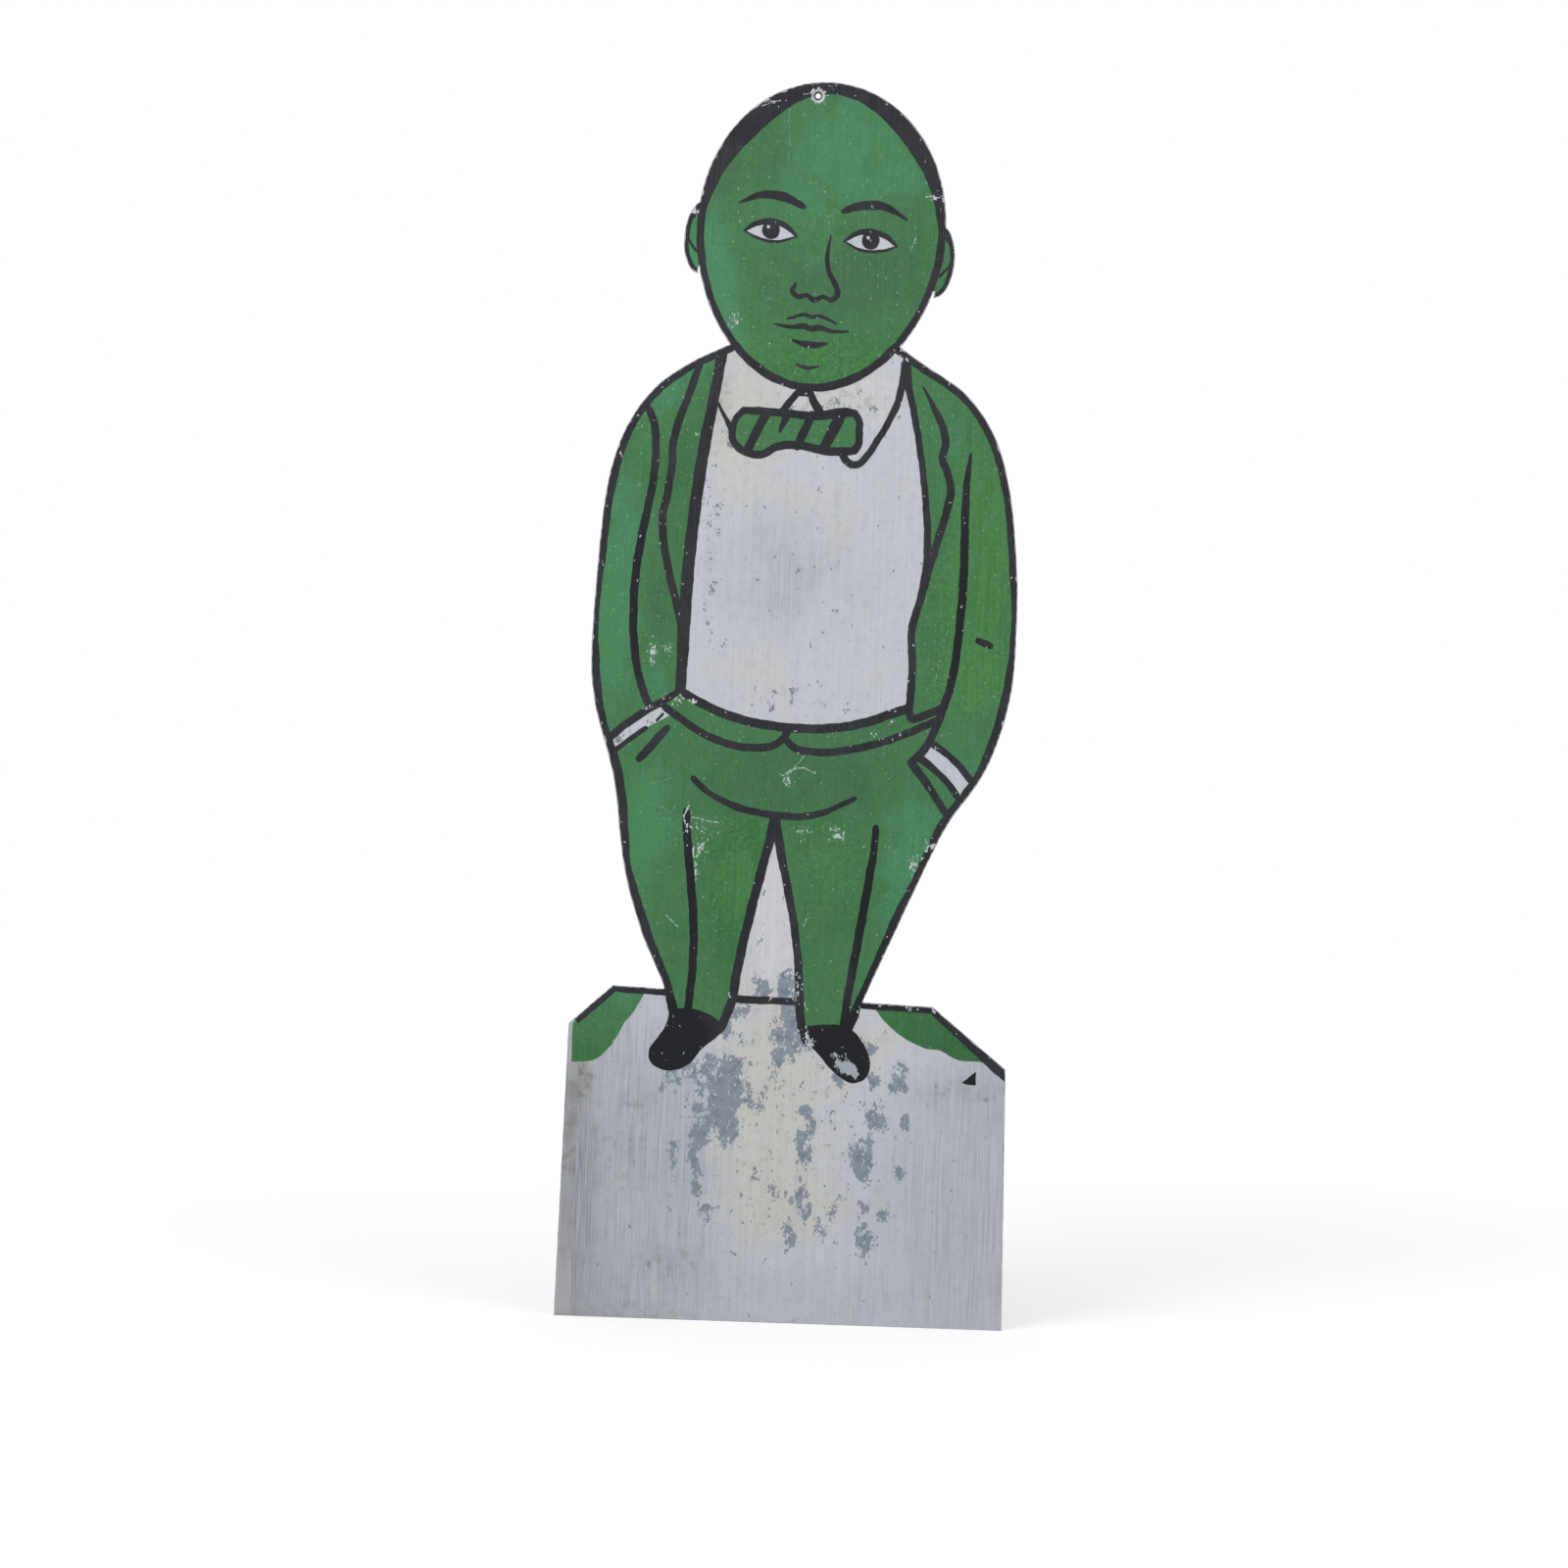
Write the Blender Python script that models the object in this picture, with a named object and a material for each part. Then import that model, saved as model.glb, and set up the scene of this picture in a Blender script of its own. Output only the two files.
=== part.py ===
"""A sheet-metal sign in the shape of a gentleman standing on a pedestal, hung by one nail.

One sheet is cut to the outline, and three coats of enamel lie on its front: a pale ground, green
fields and black key lines. Each unbroken patch of a coat is a solid of its own.

Metres, +Z up, the painted front towards -Y, the origin under the middle of the pedestal's foot.
The figure is set out on squares, as a sign painter enlarges a sketch: a point (x, up) counts
squares to the right of the middle and above the line that the figure stands on.
"""
import math

import bpy
import numpy as np
from mathutils import Vector
from mathutils.geometry import delaunay_2d_cdt, intersect_point_tri_2d

# Metal and coats
SHEET_THICKNESS = 0.001
FILM_THICKNESS = 0.00015
FILM_CLEARANCE = 0.0003

# Setting out
SQUARE = 0.010
PEDESTAL_HEIGHT = 0.240

# Pedestal: its top falls a little from left to right, and both upper corners are cut off
FOOT_WIDTH = 0.329
SHOULDER_WIDTH = 0.322
TOP_FALL = 0.008
LEFT_CUT_WIDTH = 0.0315
LEFT_CUT_HEIGHT = 0.029
RIGHT_CUT_WIDTH = 0.055
RIGHT_CUT_HEIGHT = 0.044
BARE_MARGIN = 0.012
BARE_MARGIN_HEIGHT = 0.184

# Head
HEAD_WIDTH = 0.183
HEAD_HEIGHT = 0.228
HEAD_TILT = math.radians(4)
JAW_TAPER = 0.05
EAR_DEPTH = 0.013
EAR_HEIGHT = 0.054
EAR_OVERHANG = 0.0085
EAR_LEVEL = 0.46
IRIS_RADIUS = 0.0066
HAIR_REACH = math.radians(84)
HAIR_THICKNESS = 0.0155
HAIR_AT_CROWN = 0.35
HAIR_PARTING = 0.25

# Nail hole: a nail driven from the front has dished the metal round it
NAIL_HOLE_RADIUS = 0.0019
NAIL_HOLE_X = -0.0015
NAIL_HOLE_DROP = 0.0105
DISH_RADIUS = 0.0048
DISH_DEPTH = 0.0005

# Brush widths
KEY_LINE = 0.0048
BOLD_LINE = 0.0078
FINE_LINE = 0.0028
CONTOUR_LINE = 0.0058
HEAD_LINE = 0.0055
EAR_LINE = 0.0036
PEDESTAL_LINE = 0.005
FIELD_GAP = 0.0012

# Fineness
BEND_PER_FACET = math.radians(8)
HEAD_FACETS = 60
EAR_FACETS = 12
HOLE_FACETS = 16
DAB_FACETS = 6
STRAIGHT = 0.0001
MERGE = 0.0000005


# Curves and brush strokes


def squares(*points):
    """Metres from points counted in squares."""
    return np.array(points, float) * SQUARE + (0, PEDESTAL_HEIGHT)


def hermite(start, leaving, end, arriving, steps):
    """Points on the cubic that has the given ends and slopes there."""
    t = np.linspace(0, 1, steps + 1)[:, None]
    cubed, squared = t ** 3, t ** 2
    return (
        (2 * cubed - 3 * squared + 1) * start + (cubed - 2 * squared + t) * leaving
        + (3 * squared - 2 * cubed) * end + (cubed - squared) * arriving
    )


def smooth(knots):
    """A run through the knots with points added where it bends; further columns go along."""
    if len(knots) < 3:
        return knots
    chords = np.linalg.norm(np.diff(knots[:, :2], axis=0), axis=1)
    slopes = np.gradient(knots, np.r_[0, chords.cumsum()], axis=0)
    run = [knots[:1]]
    for i, chord in enumerate(chords):
        ends = knots[i], chord * slopes[i], knots[i + 1], chord * slopes[i + 1]
        steps = np.diff(hermite(*ends, 12)[:, :2], axis=0)
        headings = np.unwrap(np.arctan2(steps[:, 1], steps[:, 0]))
        bend = np.abs(np.diff(headings)).sum()
        run.append(hermite(*ends, max(1, math.ceil(bend / BEND_PER_FACET)))[1:])
    return np.vstack(run)


def joined(*runs):
    """One run out of several that meet end to end, each smooth in itself."""
    return np.vstack([smooth(run)[:-1] for run in runs] + [runs[-1][-1:]])


def beside(run, distance):
    """The run moved sideways to its right; a closed run ends on its first point."""
    steps = np.diff(run, axis=0)
    steps /= np.linalg.norm(steps, axis=1)[:, None]
    closed = np.allclose(run[0], run[-1])
    before = np.vstack([steps[-1:] if closed else steps[:1], steps])
    after = np.vstack([steps, steps[:1] if closed else steps[-1:]])
    across = (before + after) @ np.array([[0, -1], [1, 0]])
    across *= 2 / (across ** 2).sum(axis=1)[:, None]
    return run + across * np.reshape(distance, (-1, 1))


def band(one, other):
    """The triangles between two runs, two for each pair of steps."""
    pairs = [*zip(one, one[1:], other), *zip(one[1:], other[1:], other)]
    return [np.array(triangle) for triangle in pairs]


def rim(run, width):
    """The triangles of a band that lies to the right of a run; one width, or one per point."""
    return band(run, beside(run, width))


def circle(centre, radius, facets, first=(1, 0)):
    """A round outline whose first corner lies in the given direction."""
    turn = math.atan2(first[1], first[0]) + np.arange(facets) * math.tau / facets
    return np.column_stack([centre[0] + radius * np.cos(turn), centre[1] + radius * np.sin(turn)])


def stroke(points, *widths):
    """The triangles of a brush stroke and the round dabs at its ends; one width, or one per point."""
    line = smooth(np.column_stack([points, np.resize(widths, len(points))]))
    run, half = line[:, :2], line[:, 2] / 2
    left, right = beside(run, -half), beside(run, half)
    dabs = [circle(run[i], half[i], DAB_FACETS, left[i] - run[i]) for i in (0, -1)]
    return band(left, right) + dabs


# Flat patches


def inside(places, outline):
    """Which places lie inside an outline: its sides are met an odd number of times going right."""
    before = np.roll(outline, 1, axis=0)
    side, reach = outline - before, places[:, None] - before
    met = (reach[..., 1] < 0) != (places[:, None, 1] < outline[:, 1])
    to_left = side[:, 0] * reach[..., 1] > side[:, 1] * reach[..., 0]
    return (met & (to_left == (side[:, 1] > 0))).sum(axis=1) % 2 == 1


def cells(outlines, seams=()):
    """The triangles that the outlines and seams cut the plane into, and which outlines hold each."""
    points, edges = [], []
    for outline in [*outlines, *seams]:
        ring = range(len(points), len(points) + len(outline))
        edges += zip(ring, [*ring[1:], ring[0]])
        points += [Vector(point) for point in outline]
    points, _, triangles = delaunay_2d_cdt(points, edges, [], 0, MERGE)[:3]
    middles = np.array(points)[np.array(triangles)].mean(axis=1)
    return points, triangles, np.array([inside(middles, outline) for outline in outlines])


def patch(keep, within, without):
    """The triangles kept, inside an outline of within and outside all those of without."""
    points, triangles, held = cells([*keep, *within, *without])
    shares = np.split(held, np.cumsum([len(keep), len(within)]))
    kept, inner, cut = (share.any(axis=0) for share in shares)
    return points, [tuple(t) for t, wanted in zip(triangles, kept & inner & ~cut) if wanted]


def round_about(points, triangles, place):
    """The triangles that hang together with the one at the given place."""
    spot = Vector(place)
    sharing = {}
    for corners in triangles:
        for side in zip(corners, (*corners[1:], corners[0])):
            sharing.setdefault(frozenset(side), []).append(corners)
    found = {t for t in triangles if intersect_point_tri_2d(spot, *(points[i] for i in t))}
    waiting = list(found)
    while waiting:
        corners = waiting.pop()
        for side in zip(corners, (*corners[1:], corners[0])):
            fresh = set(sharing[frozenset(side)]) - found
            found |= fresh
            waiting += fresh
    return found


def straightened(ring):
    """The ring without the points that hardly leave the line between their neighbours."""
    while True:
        before, after = np.roll(ring, 1, axis=0), np.roll(ring, -1, axis=0)
        chord, reach = (after - before).T, (ring - before).T
        height = np.abs(chord[0] * reach[1] - chord[1] * reach[0]) / np.hypot(*chord)
        lowest = (height <= np.roll(height, 1)) & (height < np.roll(height, -1))
        spare = lowest & (height < STRAIGHT)
        if not spare.any():
            return ring
        ring = ring[~spare]


def borders(points, triangles):
    """The rings round a set of triangles."""
    sides = {side for corners in triangles for side in zip(corners, (*corners[1:], corners[0]))}
    following = {start: end for start, end in sides if (end, start) not in sides}
    rings = []
    while following:
        ring = [min(following)]
        while following[ring[-1]] != ring[0]:
            ring.append(following.pop(ring[-1]))
        following.pop(ring[-1])
        rings.append(straightened(np.array([points[i] for i in ring])))
    return [ring for ring in rings if len(ring) > 2]


def slab(name, rings, front, thickness, paint, seams=()):
    """A flat solid inside the rings, from its front backwards; a ring within a ring is a hole."""
    points, triangles, held = cells(rings, seams)
    kept = [corners for corners, count in zip(triangles, held.sum(axis=0)) if count % 2]
    used = sorted({i for corners in kept for i in corners})
    place = {old: new for new, old in enumerate(used)}
    mesh = bpy.data.meshes.new(name)
    mesh.from_pydata(
        [(points[i].x, front, points[i].y) for i in used], [], [[place[i] for i in t] for t in kept]
    )
    mesh.materials.append(paint)
    piece = bpy.data.objects.new(name, mesh)
    bpy.context.collection.objects.link(piece)
    solidify = piece.modifiers.new("thickness", "SOLIDIFY")
    solidify.thickness = thickness
    solidify.offset = -1
    return piece


def material(name, colour, roughness, metallic=0.0):
    """A plain Principled material."""
    paint = bpy.data.materials.new(name)
    paint.use_nodes = True
    shader = paint.node_tree.nodes["Principled BSDF"]
    shader.inputs["Base Color"].default_value = (*colour, 1)
    shader.inputs["Roughness"].default_value = roughness
    shader.inputs["Metallic"].default_value = metallic
    return paint


for leftover in list(bpy.data.objects):
    bpy.data.objects.remove(leftover)

METAL = material("brushed_metal", (0.42, 0.45, 0.48), 0.45, 1.0)
PALE = material("pale_enamel", (0.57, 0.58, 0.62), 0.5)
GREEN = material("green_enamel", (0.065, 0.22, 0.085), 0.4)
BLACK = material("black_enamel", (0.02, 0.018, 0.022), 0.45)


# Outline of the sheet. Runs go clockwise, so that the inside lies to their right.

TOP_LEFT = np.array([LEFT_CUT_WIDTH - SHOULDER_WIDTH / 2, PEDESTAL_HEIGHT + TOP_FALL / 2])
TOP_RIGHT = np.array([SHOULDER_WIDTH / 2 - RIGHT_CUT_WIDTH, PEDESTAL_HEIGHT - TOP_FALL / 2])
LEFT_SHOULDER = TOP_LEFT - (LEFT_CUT_WIDTH, LEFT_CUT_HEIGHT)
RIGHT_SHOULDER = TOP_RIGHT + (RIGHT_CUT_WIDTH, -RIGHT_CUT_HEIGHT)
PEDESTAL = np.array([
    (-FOOT_WIDTH / 2, 0), LEFT_SHOULDER, TOP_LEFT, TOP_RIGHT, RIGHT_SHOULDER, (FOOT_WIDTH / 2, 0)
])

LEFT_SIDE = smooth(squares(
    (-8.5, -2.2), (-9.3, 0.7), (-10.85, 3.9), (-12.15, 7.7), (-12.8, 11.0), (-13.1, 13.9), (-13.6, 16.5),
    (-14.8, 20.1), (-15.4, 23.8), (-15.35, 27.6), (-15.0, 34.0), (-14.3, 39.0), (-12.8, 42.6),
    (-10.8, 45.0), (-7.2, 47.2), (-5.9, 47.8),
))
RIGHT_SIDE = smooth(squares(
    (6.1, 48.3), (8.2, 46.8), (11.0, 45.1), (13.2, 42.6), (14.45, 39.8), (15.45, 34.4), (15.8, 30.5),
    (15.8, 27.5), (15.75, 24.3), (15.05, 20.3), (13.5, 16.3), (11.4, 13.4), (9.3, 8.9), (7.25, 4.1),
    (5.6, 0.2), (4.7, -2.4),
))
BODY = np.vstack([LEFT_SIDE, RIGHT_SIDE])

CHIN = squares((-0.4, 44.5))[0]


def on_head(across, up):
    """Metres from distances across and up from the chin, on the tilted axes of the head."""
    cosine, sine = math.cos(HEAD_TILT), math.sin(HEAD_TILT)
    return np.column_stack([
        CHIN[0] + across * cosine + up * sine, CHIN[1] + up * cosine - across * sine
    ])


def egg(turn):
    """The head's edge: an ellipse that narrows to the jaw; turn 0 is the crown, then clockwise."""
    across = HEAD_WIDTH / 2 * np.sin(turn) * (1 + JAW_TAPER * np.cos(turn))
    return on_head(across, HEAD_HEIGHT / 2 * (1 + np.cos(turn)))


def ear(side):
    """The outer half of an upright oval, level with the brow above and the nose below."""
    turn = np.linspace(0, math.pi, EAR_FACETS + 1) + (math.pi if side < 0 else 0)
    middle = side * (HEAD_WIDTH / 2 + EAR_OVERHANG - EAR_DEPTH)
    up = EAR_LEVEL * HEAD_HEIGHT + EAR_HEIGHT / 2 * np.cos(turn)
    return on_head(middle + EAR_DEPTH * np.sin(turn), up)


HEAD = egg(np.linspace(-math.pi, math.pi, HEAD_FACETS + 1))
EARS = {"left": ear(-1), "right": ear(1)}
SILHOUETTE = [PEDESTAL, BODY, HEAD[1:], *EARS.values()]

NAIL_HOLE = (NAIL_HOLE_X, CHIN[1] + HEAD_HEIGHT * math.cos(HEAD_TILT) - NAIL_HOLE_DROP)
BARE_RING = circle(NAIL_HOLE, DISH_RADIUS + FILM_CLEARANCE, HOLE_FACETS)


# The sheet, pressed back round the nail hole so that a burr stands out behind

DEPTH = SHEET_THICKNESS + DISH_DEPTH + 3 * (FILM_CLEARANCE + FILM_THICKNESS)
SHEET_FRONT = DEPTH / 2 - DISH_DEPTH - SHEET_THICKNESS


def sheet():
    """The blank with its dished nail hole."""
    hole = circle(NAIL_HOLE, NAIL_HOLE_RADIUS, HOLE_FACETS)
    radii = np.linspace(NAIL_HOLE_RADIUS, DISH_RADIUS, 4)[1:]
    seams = [circle(NAIL_HOLE, radius, HOLE_FACETS) for radius in radii]
    rings = borders(*patch(SILHOUETTE, SILHOUETTE, [hole]))
    blank = slab("sheet_blank", rings, SHEET_FRONT, SHEET_THICKNESS, METAL, seams)
    for vertex in blank.data.vertices:
        reach = math.dist((vertex.co.x, vertex.co.z), NAIL_HOLE) - NAIL_HOLE_RADIUS
        share = min(max(1 - reach / (DISH_RADIUS - NAIL_HOLE_RADIUS), 0), 1)
        vertex.co.y += DISH_DEPTH * (1 - math.cos(math.pi * share)) / 2


sheet()


def coat(name, level, paint, keep, without=(), place=None):
    """A patch of enamel: level 1 is the ground, 2 the green and 3 the black."""
    front = SHEET_FRONT - level * (FILM_CLEARANCE + FILM_THICKNESS)
    points, triangles = patch(keep, SILHOUETTE, [BARE_RING, *without])
    if place is not None:
        triangles = round_about(points, triangles, place)
    return slab(name, borders(points, triangles), front, FILM_THICKNESS, paint)


def ground():
    """The pale ground, which leaves a margin of bare metal at the left of the pedestal."""
    outside, edge = -FOOT_WIDTH, BARE_MARGIN - FOOT_WIDTH / 2
    margin = [
        (outside, -SQUARE), (edge, -SQUARE), (edge, BARE_MARGIN_HEIGHT), (outside, BARE_MARGIN_HEIGHT)
    ]
    coat("pale_ground", 1, PALE, SILHOUETTE, [np.array(margin)])


ground()


# Lines of the dress that the green fields end under and the black follows

LEFT_OPENING = squares(
    (-6.5, 47.4), (-7.05, 43.6), (-7.75, 39.5), (-8.1, 36.0), (-8.5, 32.0), (-8.65, 26.0), (-8.75, 22.2)
)
RIGHT_OPENING = squares(
    (7.0, 47.6), (7.2, 45.2), (7.7, 43.2), (8.25, 40.5), (8.7, 37.5), (9.0, 34.5), (9.05, 32.0),
    (8.75, 29.9), (8.3, 28.2), (8.05, 27.1), (8.15, 25.8), (8.25, 24.0), (8.1, 21.5),
)
SHIRT_FOOT = squares(
    (-8.8, 22.2), (-7.0, 21.2), (-4.0, 20.15), (-1.0, 19.75), (2.0, 19.75), (5.0, 20.3), (8.1, 21.5)
)
RIGHT_HEM = squares((8.0, 21.6), (8.35, 20.7), (9.2, 20.95), (10.7, 21.7))
LEFT_SLEEVE = squares(
    (-12.3, 43.6), (-11.4, 42.0), (-11.15, 40.0), (-11.2, 38.0), (-11.9, 34.0), (-12.4, 30.5),
    (-12.4, 27.0), (-12.0, 23.8), (-11.3, 21.6), (-10.9, 20.8),
)
RIGHT_SLEEVE = squares(
    (12.0, 40.3), (11.75, 38.5), (11.7, 36.0), (11.8, 31.0), (11.55, 27.0), (11.1, 23.2),
    (10.4, 21.0), (9.7, 19.1), (9.0, 18.1), (8.35, 17.5),
)
LEFT_CUFF_TOP = squares((-14.4, 18.05), (-12.8, 19.5), (-11.0, 20.8), (-9.9, 21.4), (-8.8, 22.2))
LEFT_CUFF_FOOT = squares((-14.1, 17.1), (-12.2, 18.6), (-11.2, 19.35))
RIGHT_CUFF_TOP = squares((9.65, 19.05), (10.7, 18.4), (11.6, 17.7), (12.4, 16.8), (13.4, 15.6))
RIGHT_CUFF_FOOT = squares((8.9, 17.95), (9.9, 17.2), (10.8, 16.45), (11.5, 15.6), (12.4, 14.3))
POCKET = squares((8.35, 17.5), (9.2, 16.5), (10.0, 15.4), (10.6, 14.5), (11.4, 13.4))
LEFT_WAIST = squares(
    (-9.9, 21.0), (-8.5, 20.0), (-7.0, 19.1), (-5.5, 18.5), (-4.0, 18.2), (-2.6, 18.2), (-1.6, 18.5),
    (-1.0, 19.0), (-0.7, 19.7),
)
RIGHT_WAIST = squares(
    (-1.0, 19.0), (-0.3, 18.3), (0.8, 18.05), (2.0, 18.0), (4.0, 18.3), (6.0, 18.8), (8.0, 19.6),
    (10.28, 20.7),
)
LEFT_INSEAM = squares(
    (-1.5, 13.2), (-1.75, 11.6), (-2.4, 8.9), (-3.4, 4.4), (-3.9, 1.6), (-4.2, -0.6), (-4.9, -2.4)
)
RIGHT_INSEAM = squares(
    (-1.45, 13.2), (-1.1, 11.2), (-0.4, 8.1), (0.3, 4.9), (0.7, 1.6), (0.8, -0.6), (1.0, -2.4)
)
BOW_TIE = joined(
    squares((-4.9, 43.2), (-2.0, 43.1), (0.8, 42.95), (2.6, 43.3), (3.5, 43.2)),
    squares((3.5, 43.2), (3.85, 42.7), (4.0, 41.5), (3.95, 40.6), (3.5, 40.0)),
    squares((3.5, 40.0), (2.4, 39.85), (-2.2, 40.1), (-3.3, 39.5), (-4.6, 39.6), (-5.2, 39.9)),
    squares((-5.2, 39.9), (-5.75, 40.6), (-5.85, 41.4), (-5.6, 42.4), (-4.9, 43.2)),
)


def between(one, other):
    """The closed outline between two lines."""
    return np.vstack([smooth(one), smooth(other)[::-1]])


SHIRT = between(np.vstack([LEFT_OPENING, SHIRT_FOOT[1:]]), RIGHT_OPENING)
cuff_end = squares((-10.3, 19.85), (-9.35, 20.4))
LEFT_CUFF = between(LEFT_CUFF_TOP[:4], np.vstack([LEFT_CUFF_FOOT, cuff_end]))
RIGHT_CUFF = between(RIGHT_CUFF_TOP, RIGHT_CUFF_FOOT)
STRIDE = between(LEFT_INSEAM, RIGHT_INSEAM)


# The green fields, parted under the middle of the black lines that lie over their edges


def trap(*lines):
    """The thin strips along the lines that keep neighbouring fields apart."""
    return [part for line in lines for part in stroke(line, FIELD_GAP)]


def suit():
    """The fields of the jacket, the waistband and the trousers, each named by a place in it."""
    places = {
        "green_left_sleeve": (-13.6, 30), "green_left_front": (-9.4, 25), "green_right_jacket": (10, 30),
        "green_left_waistband": (-4, 19.2), "green_right_waistband": (4, 19.3),
        "green_right_pocket": (10, 16.2), "green_trousers": (-5, 10),
    }
    parted = trap(
        LEFT_OPENING, RIGHT_OPENING, SHIRT_FOOT, RIGHT_HEM, LEFT_SLEEVE, RIGHT_SLEEVE, LEFT_CUFF_TOP,
        LEFT_CUFF_FOOT, RIGHT_CUFF_TOP, RIGHT_CUFF_FOOT, POCKET, LEFT_WAIST, RIGHT_WAIST,
    )
    pale = [HEAD[1:], SHIRT, LEFT_CUFF, RIGHT_CUFF, STRIDE, *EARS.values()]
    for name, place in places.items():
        coat(name, 2, GREEN, [BODY], [*pale, *parted], squares(place)[0])


def pedestal_corners():
    """A field in each cut-off corner, its lower edge drawn as a slack curve."""
    left = TOP_LEFT + np.array([
        (2.3, 0.0), (2.3, -0.5), (1.9, -1.4), (0.9, -2.8), (-0.1, -4.6), (-1.1, -5.5), (-1.8, -5.7),
        (-2.85, -5.7),
    ]) * SQUARE
    right = TOP_RIGHT + np.array([
        (-4.3, -0.2), (-3.1, -1.6), (-1.6, -2.6), (-0.3, -3.1), (0.7, -3.2), (1.4, -3.6), (2.4, -3.9),
        (3.5, -3.9), (4.6, -4.2),
    ]) * SQUARE
    left_edge = LEFT_SHOULDER + np.array([(0.3, -0.4), (0.3, 0.0)]) * SQUARE
    coat("green_left_corner", 2, GREEN, [np.vstack([smooth(left), left_edge, TOP_LEFT])])
    coat("green_right_corner", 2, GREEN, [np.vstack([smooth(right), RIGHT_SHOULDER, TOP_RIGHT])])


def on_face(*points):
    """Metres on the drawing-school grid: eye widths across and eighths of the head above the chin."""
    across, up = np.transpose(points)
    return on_head(across * HEAD_WIDTH / 5, up * HEAD_HEIGHT / 8)


def mirrored(points, side):
    """Face points of the right half, or their reflection."""
    return [(side * across, up) for across, up in points]


UPPER_LID = [(0.48, 3.94), (0.70, 4.17), (1.00, 4.26), (1.30, 4.18), (1.54, 3.96)]
LOWER_LID = [(0.48, 3.94), (0.72, 3.80), (1.02, 3.75), (1.32, 3.82), (1.54, 3.96)]
SIDES = {"left": -1, "right": 1}


def faces():
    """The fields of the head and the ears; the whites of the eyes are left to the pale ground."""
    whites = [
        between(on_face(*mirrored(UPPER_LID, side)), on_face(*mirrored(LOWER_LID, side)))
        for side in SIDES.values()
    ]
    face_edge = beside(HEAD, (HEAD_LINE + FIELD_GAP) / 2)[1:]
    ear_root = beside(HEAD, (HEAD_LINE - FIELD_GAP) / 2)[1:]
    coat("green_head", 2, GREEN, [face_edge], whites)
    for side, outline in EARS.items():
        coat(f"green_{side}_ear", 2, GREEN, [outline], [ear_root])


suit()
pedestal_corners()
faces()
coat("green_bow_tie", 2, GREEN, [beside(BOW_TIE, KEY_LINE / 2)[1:]])


# The black key lines. All that touches is one patch, and each stroke that stands alone is another.


def hair():
    """Short hair, thin over the crown and by the ears, and fuller on the side of the parting."""
    share = np.linspace(-1, 1, HEAD_FACETS // 2)
    crown, sides = np.cbrt(1 - share ** 2), np.sin(math.pi * share) ** 2
    fullness = HAIR_AT_CROWN * crown + (1 - HAIR_AT_CROWN) * sides
    fullness *= 1 - HAIR_PARTING * share
    return rim(egg(HAIR_REACH * share), HEAD_LINE + (HAIR_THICKNESS - HEAD_LINE) * fullness)


def on_top(across):
    """The point of the pedestal's top edge that lies the given number of squares across."""
    share = (across * SQUARE - TOP_LEFT[0]) / (TOP_RIGHT[0] - TOP_LEFT[0])
    return TOP_LEFT + share * (TOP_RIGHT - TOP_LEFT)


def pedestal_top():
    """The line along the pedestal's top edge, broken where the legs stand in front of it."""
    start = LEFT_SHOULDER + 0.12 * (TOP_LEFT - LEFT_SHOULDER)
    end = RIGHT_SHOULDER + 0.2 * (RIGHT_SHOULDER - TOP_RIGHT)
    left, right = np.array([start, TOP_LEFT, on_top(-9.0)]), np.array([on_top(5.2), TOP_RIGHT, end])
    inner = stroke(squares((-4.1, -0.33), (0.8, -0.35)), KEY_LINE)
    widths = PEDESTAL_LINE, PEDESTAL_LINE, BOLD_LINE
    return rim(left, PEDESTAL_LINE) + rim(right, widths) + inner


def jacket():
    """The openings, the lapels, the sleeves and the hem."""
    left_lapel = squares(
        (-7.9, 46.9), (-8.85, 44.0), (-9.55, 42.0), (-9.95, 40.2), (-9.9, 38.8), (-10.2, 36.6),
        (-10.5, 35.0), (-10.35, 33.0), (-9.9, 30.8), (-9.2, 28.4), (-8.8, 26.8),
    )
    right_lapel = squares(
        (8.3, 45.1), (9.2, 43.5), (9.9, 42.0), (10.1, 40.9), (9.85, 40.0), (10.3, 38.9), (10.6, 37.6),
        (10.3, 35.8), (9.7, 33.6), (9.2, 31.8), (8.9, 30.4),
    )
    taper = [0.2 * KEY_LINE] + [0.8 * KEY_LINE] + [KEY_LINE] * 9
    return [
        *stroke(LEFT_OPENING, BOLD_LINE), *stroke(RIGHT_OPENING, KEY_LINE), *stroke(RIGHT_HEM, KEY_LINE),
        *stroke(left_lapel, KEY_LINE), *stroke(right_lapel, *taper), *stroke(LEFT_SLEEVE, KEY_LINE),
        *stroke(RIGHT_SLEEVE, *taper[:10]), *stroke(SHIRT_FOOT, CONTOUR_LINE),
    ]


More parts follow.
